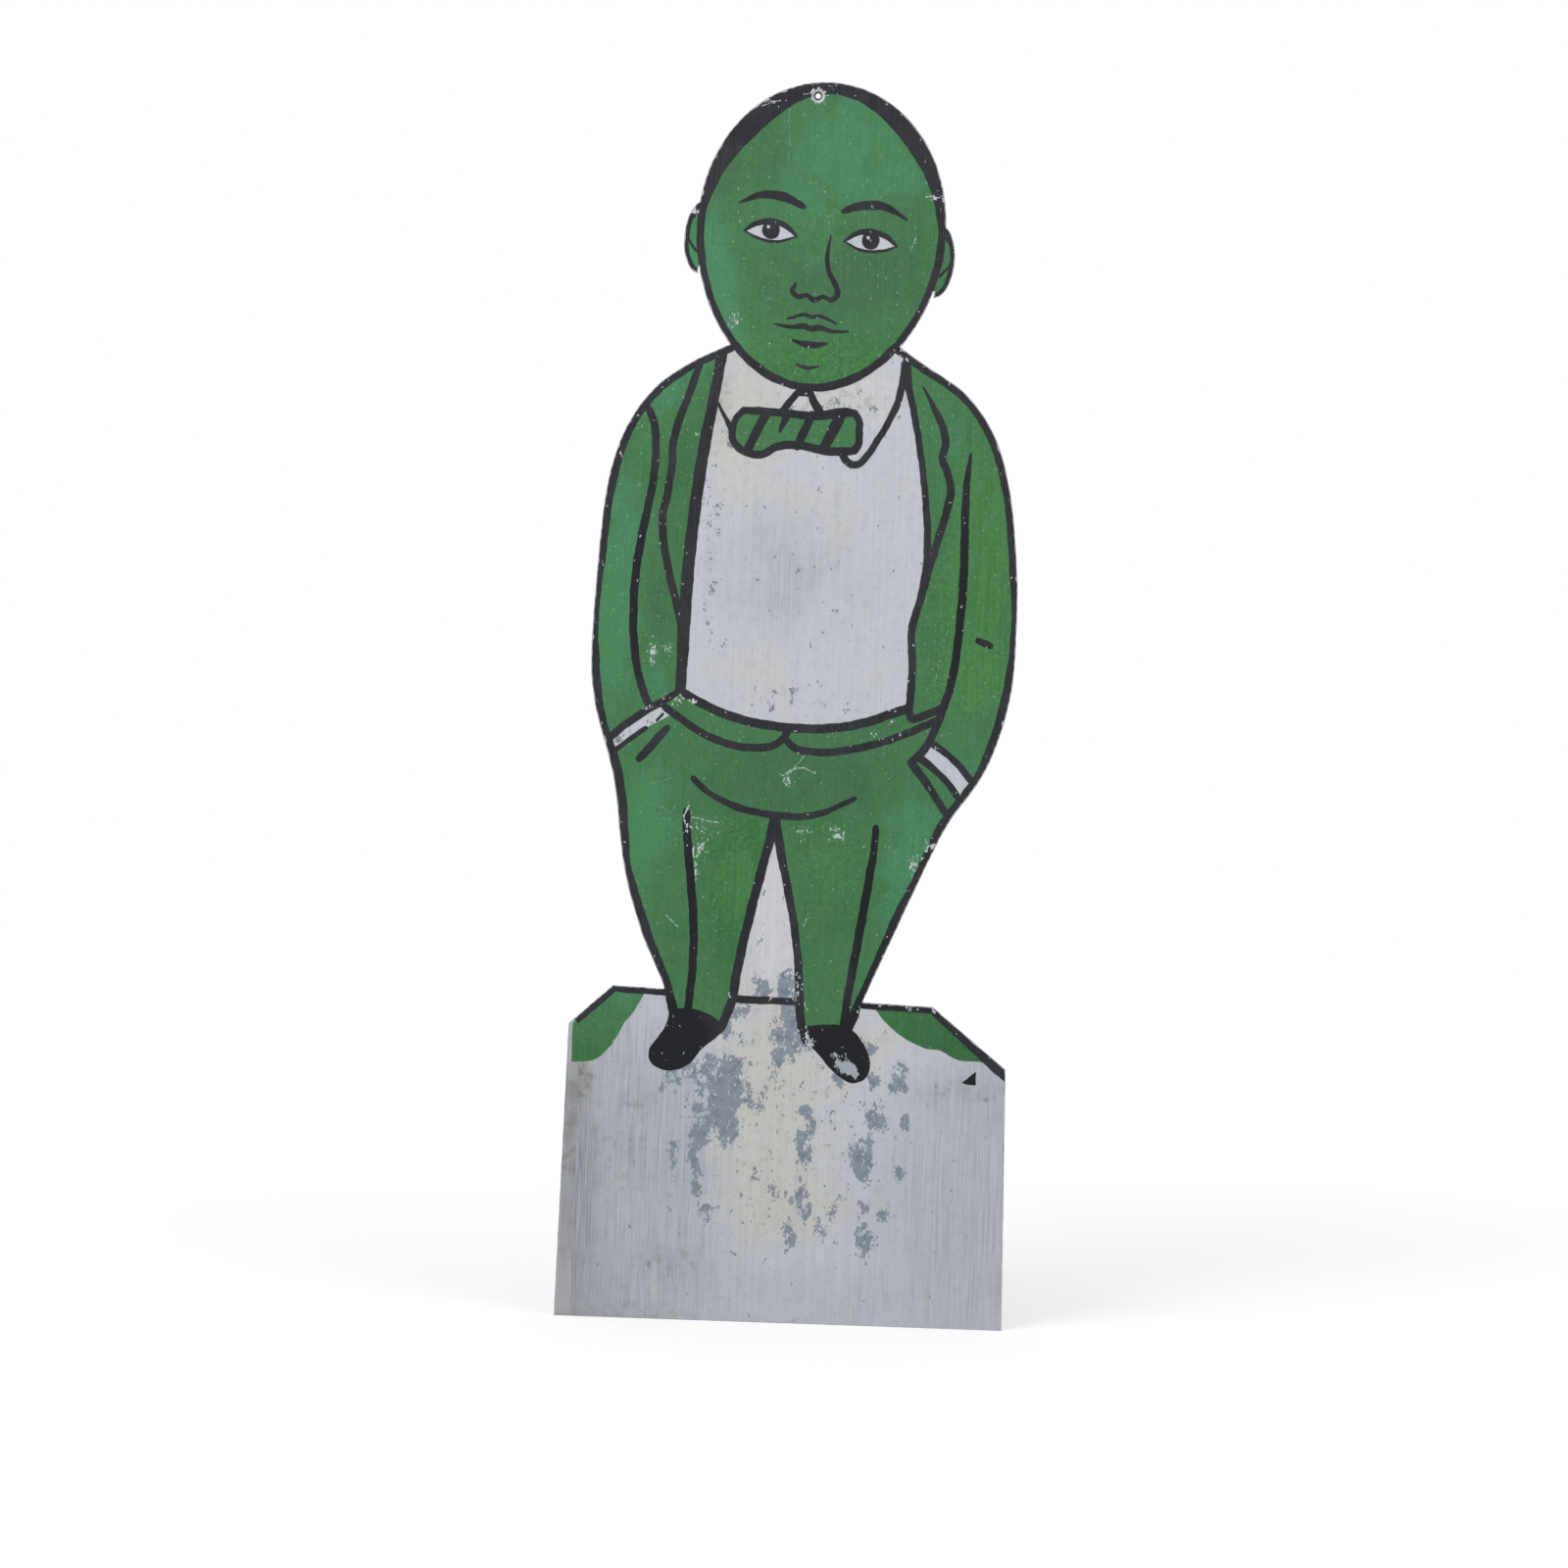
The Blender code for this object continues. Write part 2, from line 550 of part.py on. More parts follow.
def collar_and_tie():
    """The wings of the collar, the button under the chin and the striped bow tie."""
    left_wing = squares((-6.9, 43.8), (-6.3, 42.6), (-5.6, 41.4))
    right_wing = squares(
        (6.9, 46.8), (6.75, 45.0), (6.3, 43.4), (5.7, 42.1), (5.0, 40.9), (4.3, 39.8), (3.8, 39.3),
        (3.3, 39.2), (2.8, 39.5), (2.45, 40.2),
    )
    return [
        *rim(BOW_TIE, PEDESTAL_LINE), *stroke(left_wing, 0.6 * FINE_LINE, FINE_LINE, KEY_LINE),
        *stroke(right_wing, KEY_LINE), *stroke(squares((-0.8, 44.35), (0.0, 44.35)), KEY_LINE),
        *stroke(squares((-0.9, 44.4), (-2.0, 42.9)), KEY_LINE),
        *stroke(squares((0.0, 44.4), (0.3, 43.7), (0.8, 42.9)), KEY_LINE),
        *stroke(squares((-3.1, 42.8), (-3.8, 41.5), (-4.45, 40.0)), CONTOUR_LINE),
        *stroke(squares((-1.6, 42.8), (-2.1, 41.5)), CONTOUR_LINE, 0.3 * CONTOUR_LINE),
        *stroke(squares((0.2, 42.8), (-0.8, 40.4)), KEY_LINE),
        *stroke(squares((2.4, 42.9), (1.1, 40.3)), CONTOUR_LINE),
    ]


def waist_and_cuffs():
    """The cuffs, the pocket and the points of the waistband."""
    lines = LEFT_CUFF_TOP, RIGHT_CUFF_TOP, RIGHT_CUFF_FOOT, POCKET, LEFT_WAIST, RIGHT_WAIST
    strokes = [part for line in lines for part in stroke(line, KEY_LINE)]
    return strokes + stroke(LEFT_CUFF_FOOT, FINE_LINE)


def trousers():
    """The fold under the belly, the inseams and the creases."""
    fold = squares(
        (-7.6, 15.8), (-6.5, 14.8), (-5.0, 14.05), (-3.5, 13.55), (-1.8, 13.3), (0.0, 13.2), (1.5, 13.4),
        (3.0, 14.0), (4.3, 14.7),
    )
    left_crease = squares(
        (-8.0, 13.3), (-7.95, 12.0), (-7.7, 10.0), (-7.4, 7.5), (-7.15, 5.0), (-7.1, 2.0), (-7.4, -1.4)
    )
    right_crease = squares((5.95, 12.6), (5.9, 11.0), (5.4, 7.5), (4.9, 4.0), (4.35, 0.5), (4.05, -2.3))
    return [
        *stroke(fold, *[0.5 * KEY_LINE] * 2, *[0.9 * KEY_LINE] * 5, *[0.6 * KEY_LINE] * 2),
        *stroke(LEFT_INSEAM, CONTOUR_LINE), *stroke(RIGHT_INSEAM, CONTOUR_LINE),
        *stroke(left_crease, KEY_LINE), *stroke(right_crease, *[0.5 * KEY_LINE] * 2, *[KEY_LINE] * 4),
    ]


def shoes():
    """Two solid black shoes under the hems."""
    left = squares(
        (-8.7, -1.3), (-7.5, -1.15), (-6.3, -1.35), (-5.2, -1.95), (-4.7, -2.5), (-5.3, -3.2),
        (-6.2, -3.9), (-7.0, -5.0), (-8.0, -5.6), (-9.2, -5.6), (-10.0, -5.1), (-10.1, -4.3),
        (-9.5, -3.4), (-8.9, -2.4), (-8.7, -1.3),
    )
    right = squares(
        (0.9, -2.3), (1.4, -2.15), (3.0, -2.0), (4.3, -2.1), (5.2, -2.8), (5.9, -4.0), (6.1, -5.0),
        (5.8, -5.8), (5.0, -6.15), (4.0, -5.8), (2.9, -4.8), (2.0, -3.8), (1.1, -3.2), (0.9, -2.3),
    )
    return [smooth(left)[1:], smooth(right)[1:]]


def ears():
    """The edge of each ear and the fold inside it, which runs out of the head's own line."""
    fold = [(2.50, 4.30), (2.66, 4.02), (2.66, 3.66), (2.46, 3.30)]
    folds = [stroke(on_face(*mirrored(fold, side)), 0.7 * FINE_LINE) for side in SIDES.values()]
    return [*rim(EARS["left"], EAR_LINE), *rim(EARS["right"], EAR_LINE), *folds[0], *folds[1]]


coat("black_key_lines", 3, BLACK, [
    *rim(LEFT_SIDE, CONTOUR_LINE), *rim(RIGHT_SIDE, CONTOUR_LINE), *rim(HEAD, HEAD_LINE), *hair(),
    *ears(), *pedestal_top(), *jacket(), *collar_and_tie(), *waist_and_cuffs(), *trousers(), *shoes(),
])


def lone_strokes():
    """The small marks on the dress and the pedestal."""
    marks = {
        "black_left_pocket_mark": stroke(
            squares((-9.65, 19.4), (-10.7, 18.1), (-11.6, 17.1)), KEY_LINE, CONTOUR_LINE, KEY_LINE
        ),
        "black_right_sleeve_mark": stroke(squares((13.0, 26.6), (13.9, 26.25)), 0.8 * KEY_LINE),
        "black_cuff_crease": stroke(squares((-10.4, 19.95), (-9.95, 20.45)), 0.4 * FINE_LINE),
        "black_pedestal_mark": [TOP_RIGHT + np.array([(2.4, -5.5), (3.3, -4.7), (3.3, -5.6)]) * SQUARE],
    }
    for name, strokes in marks.items():
        coat(name, 3, BLACK, strokes)


def eyes_and_brows():
    """Each eye is one patch: both lids and the iris, with a pale glint left in it."""
    brow = [(0.40, 4.72), (0.75, 4.90), (1.20, 4.94), (1.70, 4.66)]
    brow_widths = np.array([0.9, 1.4, 1.2, 0.3]) * KEY_LINE
    for name, side in SIDES.items():
        upper, lower = on_face(*mirrored(UPPER_LID, side)), on_face(*mirrored(LOWER_LID, side))
        iris = on_face((side * 1.01, 4.03))[0]
        glint = circle(iris + IRIS_RADIUS * np.array([-0.3, 0.35]), 0.22 * IRIS_RADIUS, DAB_FACETS)
        lids = [
            *stroke(upper, *np.array([0.5, 1, 1.2, 1, 0.5]) * 0.8 * KEY_LINE),
            *stroke(lower, *np.array([0.5, 1, 1, 1, 0.5]) * 0.7 * FINE_LINE),
        ]
        coat(f"black_{name}_eye", 3, BLACK, [*lids, circle(iris, IRIS_RADIUS, HOLE_FACETS)], [glint])
        hairs = stroke(on_face(*mirrored(brow, side)), *brow_widths)
        coat(f"black_{name}_brow", 3, BLACK, hairs)


def nose_and_mouth():
    """A nose drawn from one side, and a closed mouth at rest; a third column swells each stroke."""
    strokes = {
        "nose": [
            (0.20, 4.05, 0.2), (0.17, 3.55, 0.6), (0.24, 3.10, 0.7), (0.42, 2.75, 0.8),
            (0.46, 2.55, 0.8), (0.34, 2.40, 0.7), (0.16, 2.46, 0.6), (0.0, 2.36, 0.8),
            (-0.16, 2.46, 0.6), (-0.34, 2.40, 0.7), (-0.46, 2.55, 0.7), (-0.40, 2.74, 0.3),
        ],
        "mouth": [
            (-0.74, 1.64, 0.2), (-0.45, 1.60, 0.5), (-0.15, 1.66, 0.8), (0.0, 1.61, 0.8),
            (0.15, 1.66, 0.8), (0.45, 1.60, 0.5), (0.74, 1.64, 0.2),
        ],
        "upper_lip": [
            (-0.50, 1.80, 0.2), (-0.14, 1.96, 0.5), (0.0, 1.91, 0.5), (0.14, 1.96, 0.5), (0.50, 1.80, 0.2)
        ],
        "lower_lip": [(-0.34, 1.26, 0.3), (0.0, 1.19, 1.0), (0.34, 1.26, 0.3)],
        "chin": [(-0.22, 0.66, 0.2), (0.0, 0.60, 0.6), (0.22, 0.66, 0.2)],
    }
    for name, rows in strokes.items():
        swell = [KEY_LINE * row[2] for row in rows]
        coat(f"black_{name}", 3, BLACK, stroke(on_face(*[row[:2] for row in rows]), *swell))


lone_strokes()
eyes_and_brows()
nose_and_mouth()
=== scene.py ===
"""Looks of a hand-painted sheet-metal sign, cut to the shape of a gentleman who stands on a pedestal.

Lengths are in metres, but the tables of ovals, scratches and steps are in mm.
"""
import math
from itertools import chain

import bpy
import numpy as np
from mathutils import Matrix, Vector
from mathutils.geometry import delaunay_2d_cdt


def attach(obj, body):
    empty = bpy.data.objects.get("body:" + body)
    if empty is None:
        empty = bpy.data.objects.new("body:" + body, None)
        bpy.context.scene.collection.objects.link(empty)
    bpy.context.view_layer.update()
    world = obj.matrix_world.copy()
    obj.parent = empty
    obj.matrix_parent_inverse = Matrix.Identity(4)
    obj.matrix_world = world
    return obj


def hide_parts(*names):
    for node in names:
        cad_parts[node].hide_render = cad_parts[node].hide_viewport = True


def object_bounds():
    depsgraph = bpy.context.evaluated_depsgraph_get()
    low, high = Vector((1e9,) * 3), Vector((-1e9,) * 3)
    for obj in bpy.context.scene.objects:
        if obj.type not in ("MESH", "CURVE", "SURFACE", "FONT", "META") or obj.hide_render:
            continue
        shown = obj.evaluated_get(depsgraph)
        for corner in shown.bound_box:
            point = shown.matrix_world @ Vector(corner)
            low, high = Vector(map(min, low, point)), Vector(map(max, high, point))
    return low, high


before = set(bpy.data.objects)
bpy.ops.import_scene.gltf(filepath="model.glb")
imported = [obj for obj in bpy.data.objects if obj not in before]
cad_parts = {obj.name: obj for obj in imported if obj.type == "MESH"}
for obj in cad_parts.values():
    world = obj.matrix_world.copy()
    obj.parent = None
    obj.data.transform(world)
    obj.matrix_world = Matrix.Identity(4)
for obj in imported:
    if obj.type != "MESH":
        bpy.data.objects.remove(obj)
cad_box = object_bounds()


# The blank: one sheet of aluminium, cut to the outline by hand and left bare on the back. It has
# bulged a little, been bent once across the head, and has one nail hole punched at the crown.
SHEET_FRONT = -0.000075
SHEET_BACK = 0.000925
SHEET_MESH = 0.004
SHEET_STEP = 0.001
SHARP_FOLD = math.radians(40)
CUT_ROUND = 0.00012
CUT_WAVER = 0.00012
NAIL = np.array([-0.0015, 0.902])
PUNCHED = 0.0048
NAIL_STEPS = 40

# The dish at the nail, from the front face in to the bore and out again over the burr behind it:
# steps towards the nail and in depth, in mm.
DISH = [(0.8, 0.08), (1.9, 0.28), (2.62, 0.46), (2.9, 0.62), (2.9, 1.2), (2.6, 1.44), (1.6, 1.12)]


def all_sides(triangles):
    """The first sides of triangles, then the second and the third ones, as pairs of point numbers."""
    return np.concatenate([triangles[:, [0, 1]], triangles[:, [1, 2]], triangles[:, [2, 0]]])


def open_sides(triangles, count):
    """The sides of triangles on `count` points that no other triangle runs along the other way."""
    sides = all_sides(triangles)
    return sides[~np.isin(sides @ [count, 1], sides @ [1, count])]


def outline(node):
    """A node's front outline, as closed loops of (x, z) points with the solid on their left.

    The outline is made of the open sides of the front's triangles. Every point looks along its loop,
    twice as far at each turn: that finds the loop's lowest point number and the number of steps to it,
    and those two numbers put the points in order.
    """
    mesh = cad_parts[node].data
    places = np.empty(3 * len(mesh.vertices), np.float32)
    mesh.vertices.foreach_get("co", places)
    corners = np.empty(len(mesh.loops), np.int32)
    mesh.loops.foreach_get("vertex_index", corners)
    places = places.reshape(-1, 3).astype(float)
    _, first, same = np.unique(np.rint(places * 1e6), axis=0, return_index=True, return_inverse=True)
    places = places[first]
    corners = same.ravel()[corners].reshape(-1, 3)
    front = corners[(places[corners, 1] < places[:, 1].min() + 1e-6).all(axis=1)]
    edges = open_sides(front, len(places))
    edges = edges[np.argsort(edges[:, 0])]
    follow = np.searchsorted(edges[:, 0], edges[:, 1])
    turns = range(int(math.log2(len(follow))) + 1)
    lowest = np.arange(len(follow))
    hop = follow
    for _ in turns:
        lowest = np.minimum(lowest, lowest[hop])
        hop = hop[hop]
    is_lowest = lowest == np.arange(len(follow))
    steps = 1 - is_lowest
    hop = np.where(is_lowest, np.arange(len(follow)), follow)
    for _ in turns:
        steps = steps + steps[hop]
        hop = hop[hop]
    order = np.lexsort([-steps, lowest])
    flat = places[edges[order, 0]][:, [0, 2]]
    return np.split(flat, np.flatnonzero(np.diff(lowest[order])) + 1)


def smoothed(loop, spacing, corner=35):
    """A loop with its facets cut into curves, as points that lie about `spacing` apart.

    Each of three rounds puts two points in place of one, a quarter of the way to its neighbours. A
    point where the loop turns by more than `corner` degrees stays. Then the curve is measured off in
    even steps, eight at least, and the step nearest to a corner is moved onto it.
    """
    come = loop - np.roll(loop, 1, axis=0)
    leave = np.roll(loop, -1, axis=0) - loop
    turn = np.arctan2(come[:, 0] * leave[:, 1] - come[:, 1] * leave[:, 0], (come * leave).sum(axis=1))
    sharp = np.abs(turn) > math.radians(corner)
    for _ in range(3):
        share = np.where(sharp, 0.0, 0.25)[:, None]
        before = loop + share * (np.roll(loop, 1, axis=0) - loop)
        after = loop + share * (np.roll(loop, -1, axis=0) - loop)
        loop = np.stack([before, after], axis=1).reshape(-1, 2)
        sharp = np.repeat(sharp, 2)
        single = ~sharp
        single[::2] = True
        loop = loop[single]
        sharp = sharp[single]
    closed = np.vstack([loop, loop[:1]])
    along = np.concatenate([[0], np.cumsum(np.hypot(*np.diff(closed, axis=0).T))])
    count = max(8, round(along[-1] / spacing))
    stops = np.linspace(0, along[-1], count, endpoint=False)
    held = along[:-1][sharp]
    stops[np.rint(held * count / along[-1]).astype(int) % count] = held
    return np.column_stack([np.interp(stops, along, closed[:, 0]), np.interp(stops, along, closed[:, 1])])


def unit(directions):
    """Directions brought to a length of 1."""
    return directions / np.hypot(*directions.T)[:, None]


def to_right(run):
    """Directions to the right of straight runs, at right angles to them."""
    return unit(np.column_stack([run[:, 1], -run[:, 0]]))


def aside(loop):
    """Directions to the right of a loop: at each point, the mean of those of the two runs that meet there."""
    right = to_right(np.roll(loop, -1, axis=0) - loop)
    return unit(right + np.roll(right, 1, axis=0))


def unsteady(places, reach):
    """Points moved as a hand wavers: three sines of the place, 6 to 25 mm long, add up to `reach`."""
    x, z = places.T
    sway = 0.5 * np.sin(260 * z + 2 * np.sin(110 * x)) + 0.3 * np.sin(610 * z - 190 * x)
    lift = 0.5 * np.sin(280 * x + 2 * np.sin(130 * z)) + 0.3 * np.sin(570 * x + 230 * z)
    sway, lift = sway + 0.2 * np.sin(1010 * z), lift + 0.2 * np.sin(980 * x)
    return places + reach * np.column_stack([sway, lift])


def bulge(places):
    """How far the sheet stands back at a place: three long sines, and across the head a crease.

    The crease is a ridge towards the front with a bell-shaped section, 0.22 mm high, along the line
    that rises to the right through the ears' upper ends.
    """
    x, z = places.T
    swell = 0.16 * np.sin(23 * x + 5 * z + 0.6) + 0.13 * np.sin(17 * z + 1.1)
    swell = swell + 0.06 * np.sin(38 * z - 29 * x)
    from_crease = (z - 0.8245 - 0.075 * x) / 0.0055
    return 0.001 * (swell - 0.22 * np.exp(-from_crease ** 2))


def filled(loops, mesh_size):
    """Triangles between closed loops, with a staggered lattice of points inside them.

    The triangulation keeps the loops' edges. A triangle's depth is 0 outside the hull and goes up by one
    at each step over a loop to its left, so the depths spread inwards. Those above 0 are kept, also
    where loops have grown into each other.
    """
    ring = np.vstack(loops)
    ends = np.cumsum([len(loop) for loop in loops])
    follow = np.arange(1, len(ring) + 1)
    follow[ends - 1] = np.concatenate([[0], ends[:-1]])
    low = np.floor(ring.min(axis=0) / mesh_size) - 1
    high = np.ceil(ring.max(axis=0) / mesh_size) + 1
    column, row = np.meshgrid(np.arange(low[0], high[0] + 1), np.arange(low[1], high[1] + 1))
    lattice = np.column_stack([(column + 0.5 * (row % 2)).ravel(), row.ravel()]) * mesh_size
    cell = np.rint((ring / mesh_size - low) * 2).astype(int) + 1
    taken = np.zeros(tuple(cell.max(axis=0) + 4), bool)
    for right in (-1, 0, 1):
        for up in (-1, 0, 1):
            taken[cell[:, 0] + right, cell[:, 1] + up] = True
    at = np.clip(np.rint((lattice / mesh_size - low) * 2).astype(int) + 1, 0, np.array(taken.shape) - 1)
    lattice = lattice[~taken[at[:, 0], at[:, 1]]]
    points = list(map(Vector, np.vstack([ring, lattice]).tolist()))
    edges = np.column_stack([np.arange(len(ring)), follow]).tolist()
    places, lines, triangles, _, sources, _ = delaunay_2d_cdt(points, edges, [], 0, 1e-9)
    places = np.array(places)
    triangles = np.array(triangles)
    lines = np.sort(np.array(lines), axis=1)
    line = np.repeat(np.arange(len(lines)), np.fromiter(map(len, sources), int))
    source = np.fromiter(chain.from_iterable(sources), int)
    ahead = places[lines[line, 1]] - places[lines[line, 0]]
    forward = np.sign(((ring[follow] - ring)[source] * ahead).sum(axis=1))
    times = np.bincount(line, forward, len(lines))
    line_names = lines @ [len(places), 1]
    by_name = np.argsort(line_names)
    sides = all_sides(triangles)
    names = np.sort(sides, axis=1) @ [len(places), 1]
    order = np.argsort(names, kind="stable")
    pair = np.flatnonzero(np.diff(names[order]) == 0)
    one = order[pair] % len(triangles)
    other = order[pair + 1] % len(triangles)
    rise = times[by_name[np.searchsorted(line_names[by_name], names[order[pair]])]]
    rise = np.where(sides[order[pair], 0] < sides[order[pair], 1], rise, -rise)
    alone = np.ones(len(names), bool)
    alone[pair] = False
    alone[pair + 1] = False
    depth = np.zeros(len(triangles))
    known = np.zeros(len(triangles), bool)
    known[order[alone] % len(triangles)] = True
    while not known.all():
        for here, there, step in ((one, other, -rise), (other, one, rise)):
            reached = known[here] & ~known[there]
            depth[there[reached]] = depth[here[reached]] + step[reached]
            known[there[reached]] = True
    kept, renamed = np.unique(triangles[depth > 0.5], return_inverse=True)
    return places[kept], renamed.reshape(-1, 3)


def slab(name, node, loops, mesh_size, front, back, edge=None):
    """A thin closed solid that stands for a node: two like faces, and walls between them.

    Every point stands back by the bulge at its place. `edge` gives rows of (outward, depth) steps for
    the outline's points, so a profile is carried along the outline from the front face to the back.
    """
    flat, triangles = filled(loops, mesh_size)
    lines = open_sides(triangles, len(flat))
    right = to_right(flat[lines[:, 1]] - flat[lines[:, 0]])
    outward = np.zeros_like(flat)
    np.add.at(outward, lines[:, 0], right)
    np.add.at(outward, lines[:, 1], right)
    rim = np.unique(lines)
    outward = unit(outward[rim])
    rows = np.zeros((0, len(rim), 2)) if edge is None else edge(flat[rim])
    across = flat[rim] + rows[..., :1] * outward
    flats = np.vstack([flat, flat, across.reshape(-1, 2)])
    flat_depths = [np.full(len(flat), front), np.full(len(flat), back)]
    depths = np.concatenate([*flat_depths, front + rows[..., 1].ravel()])
    places = np.column_stack([flats[:, 0], depths + bulge(flats), flats[:, 1]])
    row = np.arange(len(rows))[:, None] * len(rim) + 2 * len(flat) + np.arange(len(rim))
    row = np.vstack([rim, row, rim + len(flat)])
    start, end = np.searchsorted(rim, lines.T)
    upper, lower = row[:-1], row[1:]
    walls = [upper[:, start], lower[:, start], lower[:, end], upper[:, end]]
    walls = np.stack(walls, axis=-1).reshape(-1, 4)
    mesh = bpy.data.meshes.new(name)
    faces = triangles.tolist() + (triangles[:, ::-1] + len(flat)).tolist() + walls.tolist()
    mesh.from_pydata(places.tolist(), [], faces)
    mesh.polygons.foreach_set("use_smooth", np.ones(len(mesh.polygons), bool))
    mesh.set_sharp_from_angle(angle=SHARP_FOLD)
    piece = bpy.data.objects.new(name, mesh)
    bpy.context.scene.collection.objects.link(piece)
    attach(piece, "root")
    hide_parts(node)
    return piece, flats


def mark(piece, name, amounts):
    """Keep one number for each point of a piece, for its material to read."""
    kept = piece.data.attributes.new(name, "FLOAT", "POINT")
    kept.data.foreach_set("value", np.asarray(amounts, np.float32))


def cut_edge(places):
    """Rows of (outward, depth) steps: a rounded cut edge round the blank, and a punched dish at the nail.

    The cut edge goes round a quarter circle, straight through the sheet, and round another one.
    """
    thick = SHEET_BACK - SHEET_FRONT
    bend = np.radians([30, 60, 90])
    outward = CUT_ROUND * np.concatenate([np.sin(bend), [1], np.sin(bend[::-1])])
    depth = CUT_ROUND * (1 - np.cos(bend))
    depth = np.concatenate([depth, [0.5 * thick], thick - depth[::-1]])
    around = np.stack([outward, depth], axis=-1)[:, None]
    dish = 0.001 * np.array(DISH)[:, None]
    at_nail = np.hypot(*(places - NAIL).T)[None, :, None] < 1.1 * PUNCHED
    return np.where(at_nail, dish, around)


# The longer of the blank's two loops is the silhouette, held just inside the CAD model's box. The other
# is the nail hole, which is made anew here, with its dish.
silhouette = max([smoothed(loop, SHEET_STEP) for loop in outline("sheet_blank")], key=len)
silhouette = unsteady(silhouette, CUT_WAVER)
silhouette[:, 1] = np.clip(silhouette[:, 1], 0.00001, cad_box[1][2] - 0.00002)
silhouette_side = aside(silhouette)
turned = np.linspace(0, -2 * math.pi, NAIL_STEPS, endpoint=False)
nail_ring = NAIL + PUNCHED * np.column_stack([np.cos(turned), np.sin(turned)])
sheet_loops = [silhouette - CUT_ROUND * silhouette_side, nail_ring]
sheet, sheet_places = slab("sheet", "sheet_blank", sheet_loops, SHEET_MESH, SHEET_FRONT, SHEET_BACK, cut_edge)

# Where the metal's tones lie. The sheet's points are those of its front, of its back, and of the rows
# of its edge, so their numbers tell them apart.
NAIL_REACH = 0.008
BRIGHT_RING = 0.0052
BORE_SHADE_REACH = 0.0031
DAMP_HEIGHT = 0.012
HANDLED_HEIGHT = 0.01
HANDLED_REACH = 0.045
number = np.arange(len(sheet_places))
edge_start = len(sheet_places) - len(DISH) * (len(silhouette) + len(nail_ring))
behind = number >= edge_start / 2
from_nail = np.hypot(*(sheet_places - NAIL).T)
from_foot = sheet_places[:, 1]
mark(sheet, "cut", (number >= edge_start) & (from_nail > NAIL_REACH))
mark(sheet, "punched", np.exp(-(from_nail / BRIGHT_RING) ** 4))
# Painted shade: the nail hole's bore and inner dish, within 3.1 mm of the nail, are marked to be darkened near
# to black.
mark(sheet, "lip", from_nail < BORE_SHADE_REACH)
mark(sheet, "damp", 0.8 * behind * np.exp(-(from_foot / DAMP_HEIGHT) ** 2))
mark(sheet, "handled", ~behind * np.exp(-((from_foot - HANDLED_HEIGHT) / HANDLED_REACH) ** 2))


def feed(tree, socket, given):
    """Link a socket to the output that it is given, or set its value; None leaves it as it is."""
    if isinstance(given, bpy.types.NodeSocket):
        tree.links.new(given, socket)
    elif given is not None:
        socket.default_value = given


def add(tree, kind, *feeds, **settings):
    """Put a node into a tree, with its settings by name, and feed its inputs in order."""
    node = tree.nodes.new(kind)
    for name, value in settings.items():
        setattr(node, name, value)
    for socket, given in zip(node.inputs, feeds):
        feed(tree, socket, given)
    return node


def reckon(tree, operation, *feeds):
    """The result of a sum, product or other step on numbers."""
    return add(tree, "ShaderNodeMath", *feeds, operation=operation).outputs[0]


def arrow(tree, operation, *feeds):
    """The node of a step on places or directions."""
    return add(tree, "ShaderNodeVectorMath", *feeds, operation=operation)


def noise(tree, place, scale, detail, roughness):
    """The node of a noise: `detail` layers, each twice as fine as the last and `roughness` times as strong."""
    return add(tree, "ShaderNodeTexNoise", place, None, scale, detail, roughness)


def spread(tree, value, low, high, to_low=0.0, to_high=1.0):
    """A value taken from one range to another, with smooth ends, and held there beyond them."""
    node = add(tree, "ShaderNodeMapRange", value, low, high, to_low, to_high, interpolation_type="SMOOTHSTEP")
    return node.outputs[0]


def between(tree, share, at_none, at_all):
    """A value that goes smoothly from one to another as a share goes from 0 to 1."""
    return spread(tree, share, 0.0, 1.0, at_none, at_all)


def tint(tree, share, under, over, strength=None):
    """A colour mixed from two, by a share of the second, times a strength where one is given."""
    if strength is not None:
        share = reckon(tree, "MULTIPLY", share, strength)
    node = add(tree, "ShaderNodeMix", share, data_type="RGBA")
    for socket, given in ((node.inputs[6], under), (node.inputs[7], over)):
        feed(tree, socket, (*given, 1.0) if isinstance(given, tuple) else given)
    return node.outputs[2]


def amount(tree, name):
    """The mark of this name on the piece."""
    return add(tree, "ShaderNodeAttribute", attribute_name=name).outputs["Fac"]


def group(name, result, **inputs):
    """A new node group: its inputs are the place and those named, with a number, or None for a place.

    The group's tree comes back, with the inputs as they are given inside it, and the result's socket.
    """
    tree = bpy.data.node_groups.new(name, "ShaderNodeTree")
    for label, value in {"Place": None, **inputs}.items():
        kind = "NodeSocketVector" if value is None else "NodeSocketFloat"
        socket = tree.interface.new_socket(label, in_out="INPUT", socket_type=kind)
        if value is not None:
            socket.default_value = value
    tree.interface.new_socket(result, in_out="OUTPUT", socket_type="NodeSocketFloat")
    given = tree.nodes.new("NodeGroupInput").outputs
    return tree, given, tree.nodes.new("NodeGroupOutput").inputs[0]


def use(tree, made, place, **feeds):
    """The result of a group that is placed in a tree, with its inputs fed by name."""
    node = tree.nodes.new("ShaderNodeGroup")
    node.node_tree = made
    for label, given in {"Place": place, **feeds}.items():
        feed(tree, node.inputs[label], given)
    return node.outputs[0]


def new_finish(slot):
    """A new material for one of the record's slots: itself, its tree, its shader and the place on the piece."""
    material = bpy.data.materials.new(slot)
    material["slot"] = slot
    material.use_nodes = True
    tree = material.node_tree
    place = tree.nodes.new("ShaderNodeTexCoord").outputs["Object"]
    return material, tree, tree.nodes["Principled BSDF"], place


